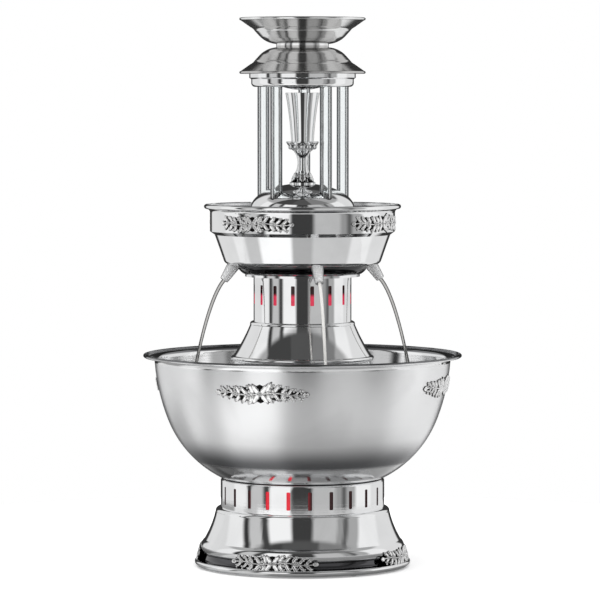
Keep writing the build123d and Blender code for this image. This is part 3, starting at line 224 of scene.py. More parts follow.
def mirror_rays(tree, rays, at):
    """1 for rays off a polished face, 0 for those through clear plastic and for all the others."""
    glossy = rays.outputs["Is Glossy Ray"]
    through = rays.outputs["Is Transmission Ray"]
    return sums(tree, "GREATER_THAN", at, glossy, through)


world = bpy.data.worlds.new("studio")
scene.world = world
world.use_nodes = True
room = world.node_tree
room.nodes.clear()
where = put(room, "ShaderNodeTexCoord", (-800, 0))
around = put(room, "ShaderNodeGroup", (-500, 100), node_tree=studio)
join(room, where, "Generated", around, "Direction")
rise = put(room, "ShaderNodeSeparateXYZ", (-500, -200))
join(room, where, "Generated", rise, "Vector")
overhead = span(room, (-300, -200), rise.outputs["Z"], ceiling_start, ceiling_full)
height_mix = colour_mix(room, (-80, 100), overhead)
join(room, around, "Walls", height_mix, "A")
join(room, around, "Ceiling", height_mix, "B")
rays = put(room, "ShaderNodeLightPath", (-280, 420))
ray_mix = colour_mix(room, (160, 160), mirror_rays(room, rays, (-80, 420)))
ray_mix.inputs["A"].default_value = grey(1)
join(room, height_mix, "Result", ray_mix, "B")
sky = put(room, "ShaderNodeBackground", (360, 160))
join(room, ray_mix, "Result", sky, "Color")
ending = put(room, "ShaderNodeOutputWorld", (560, 160))
join(room, sky, "Background", ending, "Surface")
print("world:", world.name)

# %% [markdown]
# ## Floor and lamp
# A pale round table top takes the shadow. It is small enough that upright walls still mirror the room
# beyond it. The polish sees its shaded and lit parts as panels too, one set near the base and one set
# further out, and the eye sees it lifted towards the white of the room. One large soft lamp overhead
# gives the shadow a direction.

# %% Floor
def mesh_piece(name, verts, faces):
    """A smooth mesh object in the scene from points and faces."""
    mesh = bpy.data.meshes.new(name)
    mesh.from_pydata(verts, [], faces)
    mesh.polygons.foreach_set("use_smooth", [True] * len(mesh.polygons))
    mesh.update()
    made = bpy.data.objects.new(name, mesh)
    scene.collection.objects.link(made)
    return made


floor_radius = 0.85
floor_steps = 96
rim = []
for k in range(floor_steps):
    corner = 2 * math.pi * k / floor_steps
    rim.append((floor_radius * math.cos(corner), floor_radius * math.sin(corner), 0))
floor = mesh_piece("floor", rim, [tuple(range(floor_steps))])
print("floor radius", floor_radius, "m")

# %% Paint of the floor
near_reach = 0.2
far_reach = 0.42
pale = 0.96
lift_for_eye = 0.3

floor_paint = bpy.data.materials.new("pale_table")
floor_paint.use_nodes = True
table = floor_paint.node_tree
floor_bsdf = table.nodes["Principled BSDF"]
floor_bsdf.inputs["Roughness"].default_value = 0.7
floor_bsdf.inputs["Specular IOR Level"].default_value = 0.2
spot = put(table, "ShaderNodeTexCoord", (-1000, 0))
reach = put(table, "ShaderNodeVectorMath", (-800, 0), operation="LENGTH")
join(table, spot, "Object", reach, 0)
table_panels = put(table, "ShaderNodeGroup", (-800, -300), node_tree=studio)
join(table, spot, "Object", table_panels, "Direction")
further = span(table, (-600, 0), reach.outputs["Value"], near_reach, far_reach)
mirrored = colour_mix(table, (-400, 0), further)
join(table, table_panels, "Near table", mirrored, "A")
join(table, table_panels, "Far table", mirrored, "B")
floor_rays = put(table, "ShaderNodeLightPath", (-800, 300))
floor_tone = colour_mix(table, (-200, 100), mirror_rays(table, floor_rays, (-600, 300)))
floor_tone.inputs["A"].default_value = grey(pale)
join(table, mirrored, "Result", floor_tone, "B")
join(table, floor_tone, "Result", floor_bsdf, "Base Color")
floor_bsdf.inputs["Emission Color"].default_value = grey(1)
lift = sums(table, "MULTIPLY", (-200, -200), floor_rays.outputs["Is Camera Ray"], lift_for_eye)
table.links.new(lift, floor_bsdf.inputs["Emission Strength"])
floor.data.materials.append(floor_paint)
print("floor paint:", floor_paint.name)

# %% Lamp
lamp_data = bpy.data.lights.new("overhead", "AREA")
lamp_data.shape = "DISK"
lamp_data.size = 2.4
lamp_data.energy = 22.0
lamp = bpy.data.objects.new("overhead", lamp_data)
lamp.location = (-0.3, -0.7, 2.4)
lamp.rotation_mode = "QUATERNION"
lamp.rotation_quaternion = (Vector((0, 0, 0.3)) - lamp.location).to_track_quat("-Z", "Y")
lamp.visible_glossy = False
scene.collection.objects.link(lamp)
print("lamp:", lamp_data.energy, "W")

# %% [markdown]
# ## Shared effects
# Spun sheet keeps the fine rings of the lathe, whatever its finish. They depend only on the distance
# from the axis and the height, so a noise of those two numbers draws rings on any turned piece.
# Handling leaves soft patches that are a little duller. Moulded plastic and rubber have a fine grain.
# Each effect is a node group, placed in the finishes with its own values.

# %% Spun rings
spun_rings, spun_in, spun_out = new_group(
    "spun_rings",
    [("Lines per metre", NUMBER, 900.0)],
    [("Height", NUMBER), ("Inside", NUMBER)],
)
place = put(spun_rings, "ShaderNodeTexCoord", (-900, 300))
axes = put(spun_rings, "ShaderNodeSeparateXYZ", (-720, 300))
join(spun_rings, place, "Object", axes, "Vector")
across = sums(spun_rings, "MULTIPLY", (-540, 420), axes.outputs["X"], axes.outputs["X"])
along = sums(spun_rings, "MULTIPLY", (-540, 260), axes.outputs["Y"], axes.outputs["Y"])
reach = sums(spun_rings, "SQRT", (-220, 340), sums(spun_rings, "ADD", (-380, 340), across, along))
ringed = put(spun_rings, "ShaderNodeCombineXYZ", (-60, 300))
spun_rings.links.new(reach, ringed.inputs["X"])
spun_rings.links.new(axes.outputs["Z"], ringed.inputs["Y"])
ring_noise = put(spun_rings, "ShaderNodeTexNoise", (140, 300))
ring_noise.inputs["Detail"].default_value = 3.0
ring_noise.inputs["Roughness"].default_value = 0.65
join(spun_rings, ringed, "Vector", ring_noise, "Vector")
join(spun_rings, spun_in, "Lines per metre", ring_noise, "Scale")
join(spun_rings, ring_noise, "Fac", spun_out, "Height")
# Inside is 1 where the sheet faces the axis, such as the inner side of the bowl
facing = put(spun_rings, "ShaderNodeNewGeometry", (-720, -100))
outward = put(spun_rings, "ShaderNodeVectorMath", (-540, -100), operation="DOT_PRODUCT")
flat = put(spun_rings, "ShaderNodeCombineXYZ", (-720, -320))
spun_rings.links.new(axes.outputs["X"], flat.inputs["X"])
spun_rings.links.new(axes.outputs["Y"], flat.inputs["Y"])
join(spun_rings, facing, "Normal", outward, 0)
join(spun_rings, flat, "Vector", outward, 1)
inside = span(spun_rings, (-300, -100), outward.outputs["Value"], 0.01, -0.01)
spun_rings.links.new(inside, spun_out.inputs["Inside"])
print("group:", spun_rings.name)

# %% Handling marks
handling_marks, marks_in, marks_out = new_group(
    "handling_marks",
    [("Patch size", NUMBER, 14.0), ("Clean", NUMBER, 0.04), ("Smudged", NUMBER, 0.1)],
    [("Roughness", NUMBER), ("Patch", NUMBER)],
)
place = put(handling_marks, "ShaderNodeTexCoord", (-900, 300))
broad = put(handling_marks, "ShaderNodeTexNoise", (-640, 300))
broad.inputs["Detail"].default_value = 5.0
broad.inputs["Distortion"].default_value = 0.6
join(handling_marks, place, "Object", broad, "Vector")
join(handling_marks, marks_in, "Patch size", broad, "Scale")
patch = span(handling_marks, (-420, 300), broad.outputs["Fac"], 0.42, 0.72)
clean = marks_in.outputs["Clean"]
spread = sums(handling_marks, "SUBTRACT", (-420, 0), marks_in.outputs["Smudged"], clean)
duller = sums(handling_marks, "MULTIPLY", (-200, 120), patch, spread)
rough = sums(handling_marks, "ADD", (0, 120), duller, clean)
handling_marks.links.new(rough, marks_out.inputs["Roughness"])
handling_marks.links.new(patch, marks_out.inputs["Patch"])
print("group:", handling_marks.name)

# %% Moulded grain
moulded_grain, grain_in, grain_out = new_group(
    "moulded_grain",
    [("Grain", NUMBER, 1400.0), ("Tone low", COLOUR, grey(0)), ("Tone high", COLOUR, grey(0))],
    [("Height", NUMBER), ("Colour", COLOUR)],
)
place = put(moulded_grain, "ShaderNodeTexCoord", (-900, 300))
fine = put(moulded_grain, "ShaderNodeTexNoise", (-640, 300))
fine.inputs["Detail"].default_value = 2.0
join(moulded_grain, place, "Object", fine, "Vector")
join(moulded_grain, grain_in, "Grain", fine, "Scale")
slow = put(moulded_grain, "ShaderNodeTexNoise", (-640, 0))
slow.inputs["Scale"].default_value = 30.0
slow.inputs["Detail"].default_value = 4.0
join(moulded_grain, place, "Object", slow, "Vector")
toned = colour_mix(moulded_grain, (-300, 60), slow.outputs["Fac"])
join(moulded_grain, grain_in, "Tone low", toned, "A")
join(moulded_grain, grain_in, "Tone high", toned, "B")
join(moulded_grain, fine, "Fac", grain_out, "Height")
join(moulded_grain, toned, "Result", grain_out, "Colour")
print("group:", moulded_grain.name)

# %% [markdown]
# ## Finishes
# A finish starts as one Principled shader. Numbers that are the same all over are set on the shader
# itself, and what changes over the surface comes from nodes and from the shared groups.

# %% Finish helpers
finish = {}
fine_bump = 0.0004


def new_finish(name, **constants):
    """A material with one Principled shader and plain values on its own sockets."""
    paint = bpy.data.materials.new(name)
    paint.use_nodes = True
    shader = paint.node_tree.nodes["Principled BSDF"]
    for socket, value in constants.items():
        shader.inputs[socket.replace("_", " ")].default_value = value
    return paint.node_tree, shader, paint


def use_group(tree, group, at, **values):
    """Place a shared effect in a finish with its own values."""
    node = put(tree, "ShaderNodeGroup", at, node_tree=group)
    for socket, value in values.items():
        node.inputs[socket.replace("_", " ")].default_value = value
    return node


def bumped(tree, shader, bumps, strength, distance=fine_bump):
    """Feed the height of small bumps to the shader's normal."""
    bump = put(tree, "ShaderNodeBump", (-200, -300))
    bump.inputs["Strength"].default_value = strength
    bump.inputs["Distance"].default_value = distance
    tree.links.new(bumps, bump.inputs["Height"])
    join(tree, bump, "Normal", shader, "Normal")


def tinted(tree, shader, factor, low, high):
    """Mix two colours over the surface into the base colour."""
    mix = colour_mix(tree, (-200, 200), factor)
    mix.inputs["A"].default_value = (*low, 1)
    mix.inputs["B"].default_value = (*high, 1)
    join(tree, mix, "Result", shader, "Base Color")


def grained(tree, shader, grain, low, high):
    """Give the base colour a moulded grain between two tones; returns the grain's node."""
    tones = {"Tone_low": (*low, 1), "Tone_high": (*high, 1)}
    node = use_group(tree, moulded_grain, (-600, -200), Grain=grain, **tones)
    join(tree, node, "Colour", shader, "Base Color")
    return node


print("finish helpers ready")

# %% [markdown]
# ### Polished and satin steel
# Most of the stack is buffed like a mirror, with a trace of lathe rings and a few duller patches. The
# dish and the crown's cap are spun a little less fine, and the cap is duller. The collar under the tier
# gets painted shade above a bright lip, and a band of painted shade darkens the cove of the base.
#
# The outside of the bowl is satin: the rings are deeper there and blur the mirror image up and down. The
# inside of the bowl, its lip and the band where it meets the base are brighter, and painted shade darkens
# the underside. One group tells the inside from the outside by which way the sheet faces.

# %% Polished, spun and plain steel
def turned_steel(name, patch_size, clean, smudged, lines, depth):
    """Steel from the lathe, with rings and duller patches; gives its tree, shader, material and patches."""
    tree, shader, paint = new_finish(name, Metallic=1.0)
    wear = {"Patch_size": patch_size, "Clean": clean, "Smudged": smudged}
    marks = use_group(tree, handling_marks, (-900, 0), **wear)
    rings = use_group(tree, spun_rings, (-900, -300), Lines_per_metre=lines)
    join(tree, marks, "Roughness", shader, "Roughness")
    bumped(tree, shader, rings.outputs["Height"], depth)
    return tree, shader, paint, marks.outputs["Patch"]


buffed = (16.0, 0.025, 0.075, 700.0, 0.03)
spun = (20.0, 0.12, 0.18, 1100.0, 0.08)
milled = (30.0, 0.3, 0.5, 1800.0, 0.15)
bright_steel = (0.88, 0.885, 0.89)
for slot_name, label, wear, light, dull in (
    ("polished_steel", "mirror_steel", buffed, bright_steel, (0.82, 0.825, 0.83)),
    ("dish_steel", "dish_steel", spun, (0.86, 0.865, 0.865), (0.80, 0.805, 0.805)),
    ("cap_steel", "cap_steel", spun, (0.56, 0.555, 0.55), (0.50, 0.495, 0.49)),
    ("plain_steel", "mill_steel", milled, (0.62, 0.63, 0.64), (0.52, 0.53, 0.54)),
):
    tree, shader, paint, patches = turned_steel(label, *wear)
    tinted(tree, shader, patches, light, dull)
    finish[slot_name] = paint
print("steel finishes:", sorted(finish))

# %% Steel of the base, with painted shade in the cove
cove_low = (0.0095, 0.0105)
cove_high = (0.0210, 0.0185)
tree, shader, paint, patches = turned_steel("base_steel_painted_cove_shade", *buffed)
high = surface_height(tree, (-1100, 400))
# Painted shade: the cove between the bead and the bulge is tinted near black, and real handling wear
# darkens a little too
above_bead = span(tree, (-700, 500), high, *cove_low)
below_bulge = span(tree, (-700, 280), high, *cove_high)
cove = sums(tree, "MULTIPLY", (-500, 400), above_bead, below_bulge)
worn = sums(tree, "MULTIPLY", (-500, 200), patches, 0.08)
painted_shade_and_wear = sums(tree, "MAXIMUM", (-340, 300), cove, worn)
tinted(tree, shader, painted_shade_and_wear, bright_steel, (0.09, 0.09, 0.095))
finish["base_steel_painted_cove_shade"] = paint
print("base steel: cove from", cove_low[1], "to", cove_high[1], "m")

# %% Painted shade on the collar
lip_top = (0.3880, 0.3890)
tree, shader, paint, patches = turned_steel("collar_painted_shade", 18.0, 0.05, 0.12, 900.0, 0.04)
# Painted shade: above its lip the collar, which sits under the tier, is tinted near black; the lip keeps
# bright steel
painted_shade = span(tree, (-400, 300), surface_height(tree, (-800, 300)), *lip_top)
tinted(tree, shader, painted_shade, (0.86, 0.865, 0.87), (0.05, 0.05, 0.052))
finish["collar_painted_shade"] = paint
print("collar: plated above", lip_top[1], "m")

# %% Satin steel of the bowl
# Heights where a part of the bowl begins to look different, and where it fully does
foot_band = (0.1425, 0.1365)
lip_band = (0.2690, 0.2715)
underside_shade_band = (0.178, 0.144)
flange_band = (0.2735, 0.2750)
tree, shader, paint = new_finish("satin_bowl", Metallic=1.0, Anisotropic=0.45, Anisotropic_Rotation=0.25)
rings = use_group(tree, spun_rings, (-1500, -300), Lines_per_metre=1500.0)
marks = use_group(tree, handling_marks, (-1500, 0), Patch_size=9.0, Clean=0.34, Smudged=0.40)
high = surface_height(tree, (-1700, 500))
# How polished: the foot nearly, the lip and the inside fully
foot = span(tree, (-1300, 400), high, *foot_band, 0.0, 0.9)
lip = span(tree, (-1300, 160), high, *lip_band)
polish = sums(tree, "MAXIMUM", (-1100, 280), foot, lip)
polish = sums(tree, "MAXIMUM", (-940, 200), polish, rings.outputs["Inside"])
brighter = sums(tree, "MULTIPLY", (-780, 120), polish, 0.30)
satin = sums(tree, "SUBTRACT", (-620, 40), marks.outputs["Roughness"], brighter)
tree.links.new(satin, shader.inputs["Roughness"])
# Painted shade and reflection: the underside gets painted shade, the top of the flange a dark painted
# reflection, and the outline, where the sheet is seen edge-on, a dark painted edge
unpolished = sums(tree, "SUBTRACT", (-1100, 600), 1.0, polish)
under = sums(tree, "MULTIPLY", (-1100, 760), span(tree, (-1300, 760), high, *underside_shade_band), unpolished)
facing = put(tree, "ShaderNodeNewGeometry", (-1700, 1000))
upward = put(tree, "ShaderNodeSeparateXYZ", (-1500, 1000))
join(tree, facing, "Normal", upward, "Vector")
on_top = span(tree, (-1300, 1000), upward.outputs["Z"], -0.3, 0.05)
flange = sums(tree, "MULTIPLY", (-1100, 1000), on_top, span(tree, (-1300, 1220), high, *flange_band))
slant = put(tree, "ShaderNodeLayerWeight", (-1500, 1440))
slant.inputs["Blend"].default_value = 0.5
outline = span(tree, (-1300, 1440), slant.outputs["Facing"], 0.76, 0.93, 0.0, 0.9)
worn = sums(tree, "MULTIPLY", (-740, 700), marks.outputs["Patch"], 0.1)
painted_shade_and_wear = sums(tree, "MAXIMUM", (-900, 1100), flange, outline)
painted_shade_and_wear = sums(tree, "MAXIMUM", (-740, 900), painted_shade_and_wear, under)
painted_shade_and_wear = sums(tree, "MAXIMUM", (-580, 800), painted_shade_and_wear, worn)
# Painted shade and reflection, with a little real handling wear, tint the base colour dark
tinted(tree, shader, painted_shade_and_wear, (0.90, 0.905, 0.91), (0.20, 0.203, 0.21))
bumped(tree, shader, rings.outputs["Height"], 0.10)
around = put(tree, "ShaderNodeTangent", (-420, -520), direction_type="RADIAL", axis="Z")
join(tree, around, "Tangent", shader, "Tangent")
finish["satin_steel"] = paint
print("bowl: polished below", foot_band[1], "m and above", lip_band[1], "m")

# %% [markdown]
# ### Chromed castings
# The sprays and the leaves of the vase are plated castings with painted shade in their hollows, which is
# what makes the flowers read from a distance. Each piece carries a number called relief, from the
# backing to the crests, and the finish goes from dark to bright along it.

# %% Chromed casting
tree, shader, paint = new_finish("chromed_casting", Metallic=1.0)
relief = put(tree, "ShaderNodeAttribute", (-900, 0), attribute_name="relief")
speckle = put(tree, "ShaderNodeTexNoise", (-900, -260))
speckle.inputs["Scale"].default_value = 900.0
speckle.inputs["Detail"].default_value = 2.0
stain = sums(tree, "MULTIPLY", (-680, -260), speckle.outputs["Fac"], 0.3)
raised = sums(tree, "ADD", (-520, -60), relief.outputs["Fac"], stain)
# Painted shade: low relief, meaning the hollows and the backing, is tinted near black, and the crests are
# bright
crest = span(tree, (-360, 0), raised, 0.34, 0.66)
tinted(tree, shader, crest, (0.015, 0.0145, 0.014), (0.92, 0.92, 0.92))
rough = span(tree, (-360, -160), raised, 0.3, 0.7, 0.5, 0.09)
tree.links.new(rough, shader.inputs["Roughness"])
bumped(tree, shader, speckle.outputs["Fac"], 0.08)
finish["chromed_casting"] = paint
print("casting finish made")

# %% [markdown]
# ### Red lenses
# A red sleeve stands behind the slots of the base and of the column. In the column the lamps sit at
# the foot, so the lower half of each slot glows and the upper half stays dark. In the base two lamps
# hang behind the sleeve, and only the slots near a lamp light up. Both glows depend on the place on
# the sleeve, so they hold from every side.

# %% Red lenses
liner_radius = 0.1064
lamp_side = math.radians(-17.0)
fully_lit = math.radians(12)
still_lit = math.radians(24)
slot_glow = (0.3635, 0.3575)


def red_lens(name, glow, colour):
    """A red sleeve that glows where the given function of the tree says."""
    tree, shader, paint = new_finish(name, Roughness=0.35, Emission_Strength=1.0)
    place = put(tree, "ShaderNodeTexCoord", (-1200, 0))
    axes = put(tree, "ShaderNodeSeparateXYZ", (-1000, 0))
    join(tree, place, "Object", axes, "Vector")
    ripple = put(tree, "ShaderNodeTexNoise", (-1000, -300))
    ripple.inputs["Scale"].default_value = 260.0
    join(tree, place, "Object", ripple, "Vector")
    lit = glow(tree, axes)
    uneven = span(tree, (-500, -300), ripple.outputs["Fac"], 0.2, 0.8, 0.75, 1.0)
    lit = sums(tree, "MULTIPLY", (-320, -120), lit, uneven)
    glowing = colour_mix(tree, (-160, -120), lit)
    glowing.inputs["A"].default_value = (0.004, 0.0, 0.0, 1)
    glowing.inputs["B"].default_value = (*colour, 1)
    join(tree, glowing, "Result", shader, "Emission Color")
    tinted(tree, shader, lit, (0.03, 0.005, 0.006), (0.25, 0.01, 0.02))
    return paint


def column_glow(tree, axes):
    """Bright below the middle of the slots, dark above."""
    return span(tree, (-700, 0), axes.outputs["Z"], *slot_glow)


def base_glow(tree, axes):
    """Bright in front of the two lamps, which face each other across the axis."""
    near = sums(tree, "MULTIPLY", (-820, 120), axes.outputs["X"], math.sin(lamp_side) / liner_radius)
    deep = sums(tree, "MULTIPLY", (-820, -60), axes.outputs["Y"], -math.cos(lamp_side) / liner_radius)
    towards = sums(tree, "ABSOLUTE", (-520, 40), sums(tree, "ADD", (-660, 40), near, deep))
    return span(tree, (-380, 40), towards, math.cos(still_lit), math.cos(fully_lit))


finish["base_lens"] = red_lens("red_base_lens", base_glow, (0.66, 0.010, 0.026))
finish["column_lens"] = red_lens("red_column_lens", column_glow, (0.62, 0.035, 0.085))
print("lenses: base and column")

# %% [markdown]
# ### Clear tubing, spouts, lamps and the drink
# The tubes are clear acrylic with faint upright streaks from drawing. The spouts are the same stuff
# with a frosted skin. The drink runs clear from three spouts and full of white bubbles from the front
# one. Where a round wall is seen edge-on, all get painted shade towards the edges; the longer path of
# the light through the wall accounts for only a little of it.

# %% Painted shade at the edges of clear walls
def painted_edge_shade(tree, shader, dark, start, full):
    """Paint shade into a clear colour towards both sides of an upright wall, from whatever height it is
    seen.
    """
    slant = put(tree, "ShaderNodeLayerWeight", (-1300, 700))
    slant.inputs["Blend"].default_value = 0.5
    sight = put(tree, "ShaderNodeNewGeometry", (-1500, 500))
    rise = put(tree, "ShaderNodeSeparateXYZ", (-1300, 500))
    join(tree, sight, "Incoming", rise, "Vector")
    square = sums(tree, "MULTIPLY", (-1120, 500), rise.outputs["Z"], rise.outputs["Z"])
    level = sums(tree, "SQRT", (-800, 500), sums(tree, "SUBTRACT", (-960, 500), 1.0, square))
    frontal = sums(tree, "SUBTRACT", (-1120, 700), 1.0, slant.outputs["Facing"])
    frontal = sums(tree, "DIVIDE", (-640, 600), frontal, sums(tree, "MAXIMUM", (-800, 340), level, 0.1))
    # Painted shade: the clear colour is mixed towards the dark tone at the edges
    edge = colour_mix(tree, (-60, 420), span(tree, (-440, 600), frontal, 1.0 - start, 1.0 - full))
    tree.links.new(shader.inputs["Base Color"].links[0].from_socket, edge.inputs["A"])
    edge.inputs["B"].default_value = (*dark, 1)
    join(tree, edge, "Result", shader, "Base Color")


print("edges of clear walls ready")

# %% Tubes, spouts and lamps
acrylic = 1.49
tree, shader, paint = new_finish("clear_tubing", Roughness=0.02, IOR=acrylic, Transmission_Weight=1.0)
place = put(tree, "ShaderNodeTexCoord", (-900, 0))
drawn = put(tree, "ShaderNodeMapping", (-720, 0))
drawn.inputs["Scale"].default_value = (900, 900, 12)
streaks = put(tree, "ShaderNodeTexNoise", (-520, 0))
streaks.inputs["Scale"].default_value = 1.0
join(tree, place, "Object", drawn, "Vector")
join(tree, drawn, "Vector", streaks, "Vector")
tinted(tree, shader, streaks.outputs["Fac"], (0.97, 0.985, 0.985), (0.93, 0.95, 0.955))
painted_edge_shade(tree, shader, (0.004, 0.005, 0.006), 0.10, 0.36)
bumped(tree, shader, streaks.outputs["Fac"], 0.05, 0.0005)
finish["clear_tubing"] = paint

tree, shader, paint = new_finish("frosted_spout", IOR=acrylic, Transmission_Weight=0.5)
frost = grained(tree, shader, 1100.0, (0.90, 0.91, 0.92), (0.97, 0.97, 0.97))
painted_edge_shade(tree, shader, (0.12, 0.122, 0.125), 0.3, 0.75)
rough = span(tree, (-300, 0), frost.outputs["Height"], 0.2, 0.8, 0.14, 0.34)
tree.links.new(rough, shader.inputs["Roughness"])
bumped(tree, shader, frost.outputs["Height"], 0.12)
finish["frosted_spout"] = paint

tree, shader, paint = new_finish("lamp_bulb", Roughness=0.12, IOR=1.45, Emission_Strength=0.8)
frost = grained(tree, shader, 600.0, (0.75, 0.10, 0.06), (0.95, 0.22, 0.14))
join(tree, frost, "Colour", shader, "Emission Color")
bumped(tree, shader, frost.outputs["Height"], 0.05)
finish["lamp_glass"] = paint
print("clear finishes: tubes, spouts and lamps")

# %% Drink
def drink_finish(name, clear, dark, start, full):
    """Running drink, more or less clear, with painted shade towards its edges."""
    tree, shader, paint = new_finish(name, Roughness=0.03, IOR=1.34, Transmission_Weight=clear)
    place = put(tree, "ShaderNodeTexCoord", (-900, 0))
    swirl = put(tree, "ShaderNodeTexNoise", (-640, 0))
    swirl.inputs["Scale"].default_value = 180.0
    join(tree, place, "Object", swirl, "Vector")
    tinted(tree, shader, swirl.outputs["Fac"], (0.99, 0.98, 0.96), (0.96, 0.95, 0.92))
    painted_edge_shade(tree, shader, dark, start, full)
    bumped(tree, shader, swirl.outputs["Fac"], 0.25, 0.0015)
    return paint


clear_drink = drink_finish("clear_drink", 1.0, (0.01, 0.01, 0.01), -0.3, 0.34)
bubbly_drink = drink_finish("bubbly_drink", 0.3, (0.25, 0.25, 0.25), 0.3, 0.75)
print("drink:", clear_drink.name, "and", bubbly_drink.name)

# %% [markdown]
# ### Plastic, rubber, paint and iron
# These sit under the base, at its back and inside the pump. All use the same moulded grain with other
# colours, so a black switch, a white pump and a painted motor still differ in tone and sheen.

# %% Moulded and painted finishes
# Slot, label, dark tone, light tone, grain, roughness, metal and depth of the grain
moulded = [
    ("soft_rubber", "soft_rubber", (0.030, 0.030, 0.031), (0.055, 0.055, 0.056), 900, 0.75, 0.0, 0.25),
    ("black_plastic", "black_plastic", (0.012, 0.012, 0.013), (0.028, 0.028, 0.029), 1500, 0.38, 0.0, 0.18),
    ("white_plastic", "white_plastic", (0.80, 0.80, 0.77), (0.88, 0.88, 0.86), 1500, 0.42, 0.0, 0.10),
    ("motor_paint", "motor_paint", (0.10, 0.105, 0.11), (0.16, 0.165, 0.17), 1200, 0.36, 0.3, 0.15),
    ("motor_iron", "varnished_iron", (0.10, 0.095, 0.09), (0.20, 0.195, 0.19), 2200, 0.48, 0.8, 0.35),
]
for slot_name, label, dark, light, grain, rough, metal, depth in moulded:
    tree, shader, paint = new_finish(label, Roughness=rough, Metallic=metal)
    node = grained(tree, shader, grain, dark, light)
    bumped(tree, shader, node.outputs["Height"], depth)
    finish[slot_name] = paint
print("moulded finishes:", [row[1] for row in moulded])

# %% [markdown]
# ## Give the solids their finishes
# The record names a material slot for each node, so one loop dresses them all. A few nodes get a finish
# of their own: the two red sleeves, the collar, the skirt, the cap, the dish and the vase.

# %% Dress the solids
own_finish = {
    "base_liner": "base_lens",
    "column_liner": "column_lens",
    "tier_collar": "collar_painted_shade",
    "base_skirt": "base_steel_painted_cove_shade",
    "crown_cap": "cap_steel",
    "top_dish": "dish_steel",
    "vase_foot": "polished_steel",
    "vase_trumpet": "polished_steel",
}
for part in frame["record"]["subparts"]:
    wanted = own_finish.get(part["node"], part["material_slot"])
    piece = cad[part["node"]]
    piece.data.materials.clear()
    piece.data.materials.append(finish[wanted])

# %% [markdown]
# ## Cast floral sprays
# On the base, the bowl and the tier sits a cast spray of leaves, blossoms and berries, four of each,
# pointed at both ends. A sculptor would model one flat and the foundry would bend it to the sheet. The
# code does the same: it shapes small grids in flat coordinates (along, up, out from the sheet), and
# then wraps them round the axis on the line of the sheet. Every point keeps its relief from 0 in the
# hollows to 1 on the crests, for the finish. Millimetres are used while shaping, metres when wrapped.

# %% Shapes of a casting
class Casting:
    """Grids of points in flat coordinates, with the relief of each point."""

    def __init__(self):
        self.points = []
        self.relief = []
        self.faces = []

    def grid(self, rows, closed=False):
        """Add rows of (along, up, out, relief) points and the faces between them."""
        first = len(self.points)
        width = len(rows[0])
        for row in rows:
            for along, up, out, crest in row:
                self.points.append((along, up, out))
                self.relief.append(crest)
        for i in range(len(rows) - 1):
            for j in range(width if closed else width - 1):
                near = first + i * width + j
                beside = first + i * width + (j + 1) % width
                self.faces.append((near, near + width, beside + width, beside))


leaf_rows = 12
leaf_halves = 3
vein_depth = 0.55
vein_width = 0.22
hem_depth = 0.3


def hem(point):
    """The place just under the sheet below a point, where the edge of a leaf is turned down."""
    return (point[0], point[1], -hem_depth, 0.0)


def leaf(casting, along, up, angle, length, width, lift, bend=0.0):
    """A pointed leaf with two swelling halves and a vein between them."""
    rows = []
    # s goes from the root to the tip, and t from one edge to the other
    for i in range(leaf_rows + 1):
        s = i / leaf_rows
        turn = angle + bend * (s - 0.5)
        course = (angle - bend / 2 + turn) / 2
        middle_along = along + length * s * math.cos(course)
        middle_up = up + length * s * math.sin(course)
        half = width / 2 * math.sin(math.pi * min(1.0, s * 0.94 + 0.06)) ** 0.75
        half *= 1 + 0.14 * math.cos(6 * math.pi * s)
        row = []
        for j in range(2 * leaf_halves + 1):
            t = j / leaf_halves - 1
            swell = (1 - t * t) ** 0.6 if abs(t) < 1 else 0.0
            vein = 1 - vein_depth * math.exp(-((t / vein_width) ** 2))
            crest = swell * vein * min(1.0, 3.2 * s + 0.25) * min(1.0, 4 * (1 - s) + 0.1)
            row.append((
                middle_along - t * half * math.sin(turn),
                middle_up + t * half * math.cos(turn),
                lift * (0.15 + 0.85 * crest),
                crest,
            ))
        rows.append([hem(row[0]), *row, hem(row[-1])])
    root = [hem(point) for point in rows[0]]
    casting.grid([root, *rows])


print("casting shapes: grids and leaves")

# %% Blossoms, berries and stems
blossom_rings = 8
petal_columns = 8
button = 0.28
berry_rings = 5
berry_columns = 12


def blossom(casting, along, up, radius, lift, turn=0.0, petals=5):
    """Round petals about a button, with dark lines between them."""
    rows = []
    around = petals * petal_columns
    for i in range(blossom_rings + 1):
        s = i / blossom_rings
        edge = 1.0 if i < blossom_rings else 0.2
        row = []
        for j in range(around):
            angle = 2 * math.pi * j / around
            lobe = abs(math.cos(petals * angle / 2))
            reach = radius * s * (0.74 + 0.26 * lobe ** 0.5)
            if s < button:
                crest = 0.9 * math.cos(s / button * math.pi / 2) + 0.05
            else:
                petal = math.sin(math.pi * ((s - button) / (1 - button)) ** 0.8)
                crest = petal * (0.25 + 0.75 * lobe ** 0.7)
            row.append((
                along + reach * math.cos(angle + turn),
                up + reach * math.sin(angle + turn),
                lift * (0.2 + 0.8 * crest) * edge,
                crest,
            ))
        rows.append(row)
    casting.grid(rows, closed=True)


def berry(casting, along, up, radius, lift):
    """A small round bead."""
    rows = []
    for i in range(berry_rings + 1):
        s = i / berry_rings
        dome = math.sqrt(max(0.0, 1 - s * s))
        row = []
        for j in range(berry_columns):
            angle = 2 * math.pi * j / berry_columns
            row.append((
                along + radius * s * math.cos(angle),
                up + radius * s * math.sin(angle),
                lift * dome,
                dome,
            ))
        rows.append(row)
    casting.grid(rows, closed=True)


